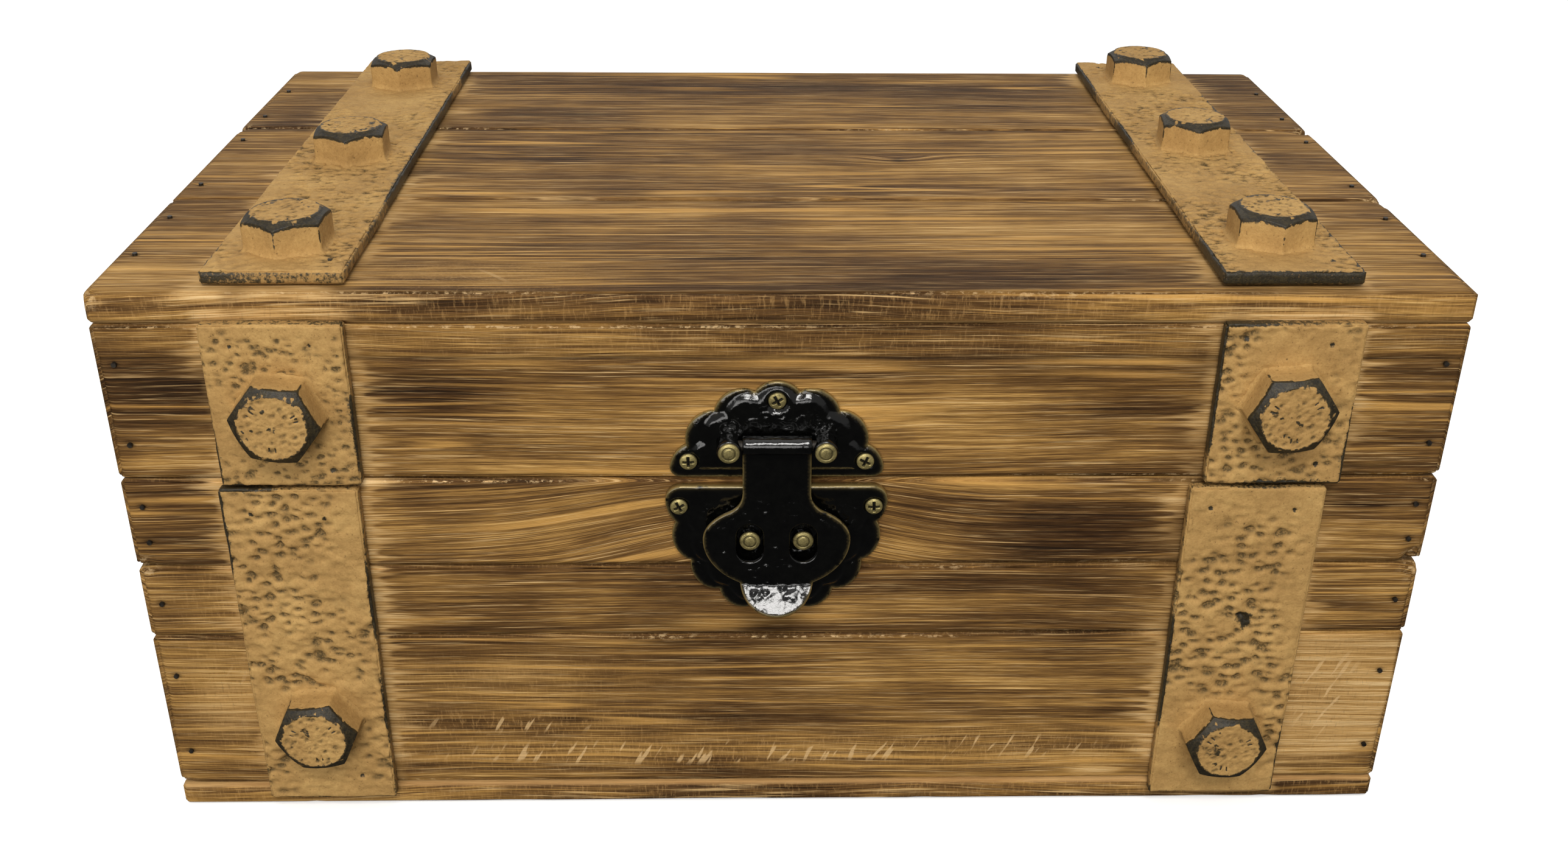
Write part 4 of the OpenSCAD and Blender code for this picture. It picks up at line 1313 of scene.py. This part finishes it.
def make_latch():
    """Both plates, the hasp, its pin, and every rivet, stud and screw."""
    upper_screws, lower_screws = latch_places("latch_upper_screws"), latch_places("latch_lower_screws")
    rivets, studs = latch_places("hasp_rivets"), latch_places("latch_studs")
    post_height = FRONT - node_box("latch_upper_plate")[0][Y]
    stud_post_height = FRONT - node_box("latch_lower_plate")[0][Y]
    upper_edge = node_box("latch_upper_plate")[0][Z]
    lower_edge = node_box("latch_lower_plate")[1][Z]
    upper = scallops((24.4, 26.9), 96.9, 25, 90, upper_edge)
    lower = scallops((24.9, 29.4), 93.2, 22.9, 270, lower_edge)
    plate("latch_upper_plate", upper, upper_screws, rivets, 2.9, post_height, 411)
    plate("latch_lower_plate", lower, lower_screws, studs, 2.3, stud_post_height, 421,
          wrinkle=0.22, flush=True)
    hasp()
    buttons("hasp_rivets", rivets, post_height, 2.6, 1.0, fitting_brass)
    buttons("latch_studs", studs, stud_post_height, 2.55, 1.0, fitting_brass)
    for node, places in (("latch_upper_screws", upper_screws), ("latch_lower_screws", lower_screws)):
        buttons(node, places, SCREW_SEAT, 2.15, 0.9, fitting_brass, recess=0.3)
    low, high = node_box("hasp_pin")
    rod("latch_hasp_pin", "hasp_pin", (low + high) / 2, (high - low)[X] / 2, (high - low)[Z] / 2, steel)


# ---------------------------------------------------------------- fittings and stage


def make_fittings():
    """Gives the CAD nodes that keep their own shape their materials."""
    finishes = {
        "left_hinge_body_leaf": hinge_metal, "right_hinge_body_leaf": hinge_metal,
        "left_hinge_lid_leaf": hinge_metal, "right_hinge_lid_leaf": hinge_metal,
        "hinge_pins": steel, "hinge_body_screws": hinge_metal, "hinge_lid_screws": hinge_metal,
        "body_brads": steel, "lid_brads": steel,
    }
    for node, material in finishes.items():
        keeper = frame["nodes"][node]
        if not keeper.material_slots:
            keeper.data.materials.append(material)
        for slot in keeper.material_slots:
            slot.material = material


def make_stage():
    """A pale floor, soft studio light and the camera."""
    bpy.ops.mesh.primitive_plane_add(size=8, location=(0, 1.5, 0))
    floor = bpy.context.object
    floor.name = "studio_floor"
    s = Shader("pale_floor")
    mottling = s.noise(s.place(), 3, 0.5, scale=0.01)
    s.surface(Base_Color=s.ramp(mottling, [(0.3, "f6f6f5"), (0.7, "f9f9f8")]))
    s.surface(Roughness=0.9, Specular_IOR_Level=0.1)
    s.surface(Emission_Color=(1.0, 1.0, 1.0, 1.0), Emission_Strength=0.4)
    floor.data.materials.append(s.material)
    floor.visible_glossy = False
    floor.visible_diffuse = False

    world = bpy.data.worlds.new("studio")
    world.use_nodes = True
    nodes, links = world.node_tree.nodes, world.node_tree.links
    direction = nodes.new("ShaderNodeSeparateXYZ")
    links.new(nodes.new("ShaderNodeTexCoord").outputs["Generated"], direction.inputs[0])
    height = nodes.new("ShaderNodeMapRange")
    for key, value in (("From Min", -0.1), ("From Max", 0.1), ("To Min", 0.05), ("To Max", 0.44)):
        height.inputs[key].default_value = value
    links.new(direction.outputs["Z"], height.inputs["Value"])
    links.new(height.outputs["Result"], nodes["Background"].inputs["Strength"])
    nodes["Background"].inputs["Color"].default_value = (1.0, 0.99, 0.97, 1.0)
    bpy.context.scene.world = world

    def area(name, place, aim, size, watts, tint):
        """A rectangular light at a place, turned towards aim."""
        lamp = bpy.data.lights.new(name, "AREA")
        lamp.shape, lamp.size, lamp.size_y = "RECTANGLE", size[0], size[1]
        lamp.energy, lamp.color = watts, tint
        lamp_object = add_object(name, lamp)
        lamp_object.location = place
        lamp_object.rotation_euler = (Vector(aim) - Vector(place)).to_track_quat("-Z", "Y").to_euler()

    warm, warmer, white = (1.0, 0.98, 0.95), (1.0, 0.97, 0.93), (1.0, 1.0, 1.0)
    area("ceiling_panel", (0.0, -0.25, 1.5), (0, 0, 0.1), size=(1.3, 0.8), watts=2.7, tint=warmer)
    area("front_softbox", (0.018, -0.876, 0.995), (0, -0.11, 0.075),
         size=(0.45, 0.28), watts=8.0, tint=warm)
    area("low_fill", (-0.5, -1.6, 0.45), (0, 0, 0.07), size=(1.4, 0.7), watts=12.5, tint=warm)
    area("backdrop_light", (0, 2.6, 1.9), (0, 2.2, 0), size=(4.0, 2.0), watts=22, tint=white)

    eye = bpy.data.cameras.new("camera")
    eye.sensor_width, eye.lens, eye.clip_start = 36.0, 36.736, 0.01
    camera = add_object("camera", eye)
    camera.location = (-0.0085, -0.4353, 0.2876)
    camera.rotation_euler = Euler((1.09775, -0.00847, -0.01975), "XYZ")
    bpy.context.scene.camera = camera
    bpy.context.scene.view_settings.view_transform = "Standard"


make_planks()
make_straps()
make_bolts()
make_latch()
make_fittings()
make_stage()
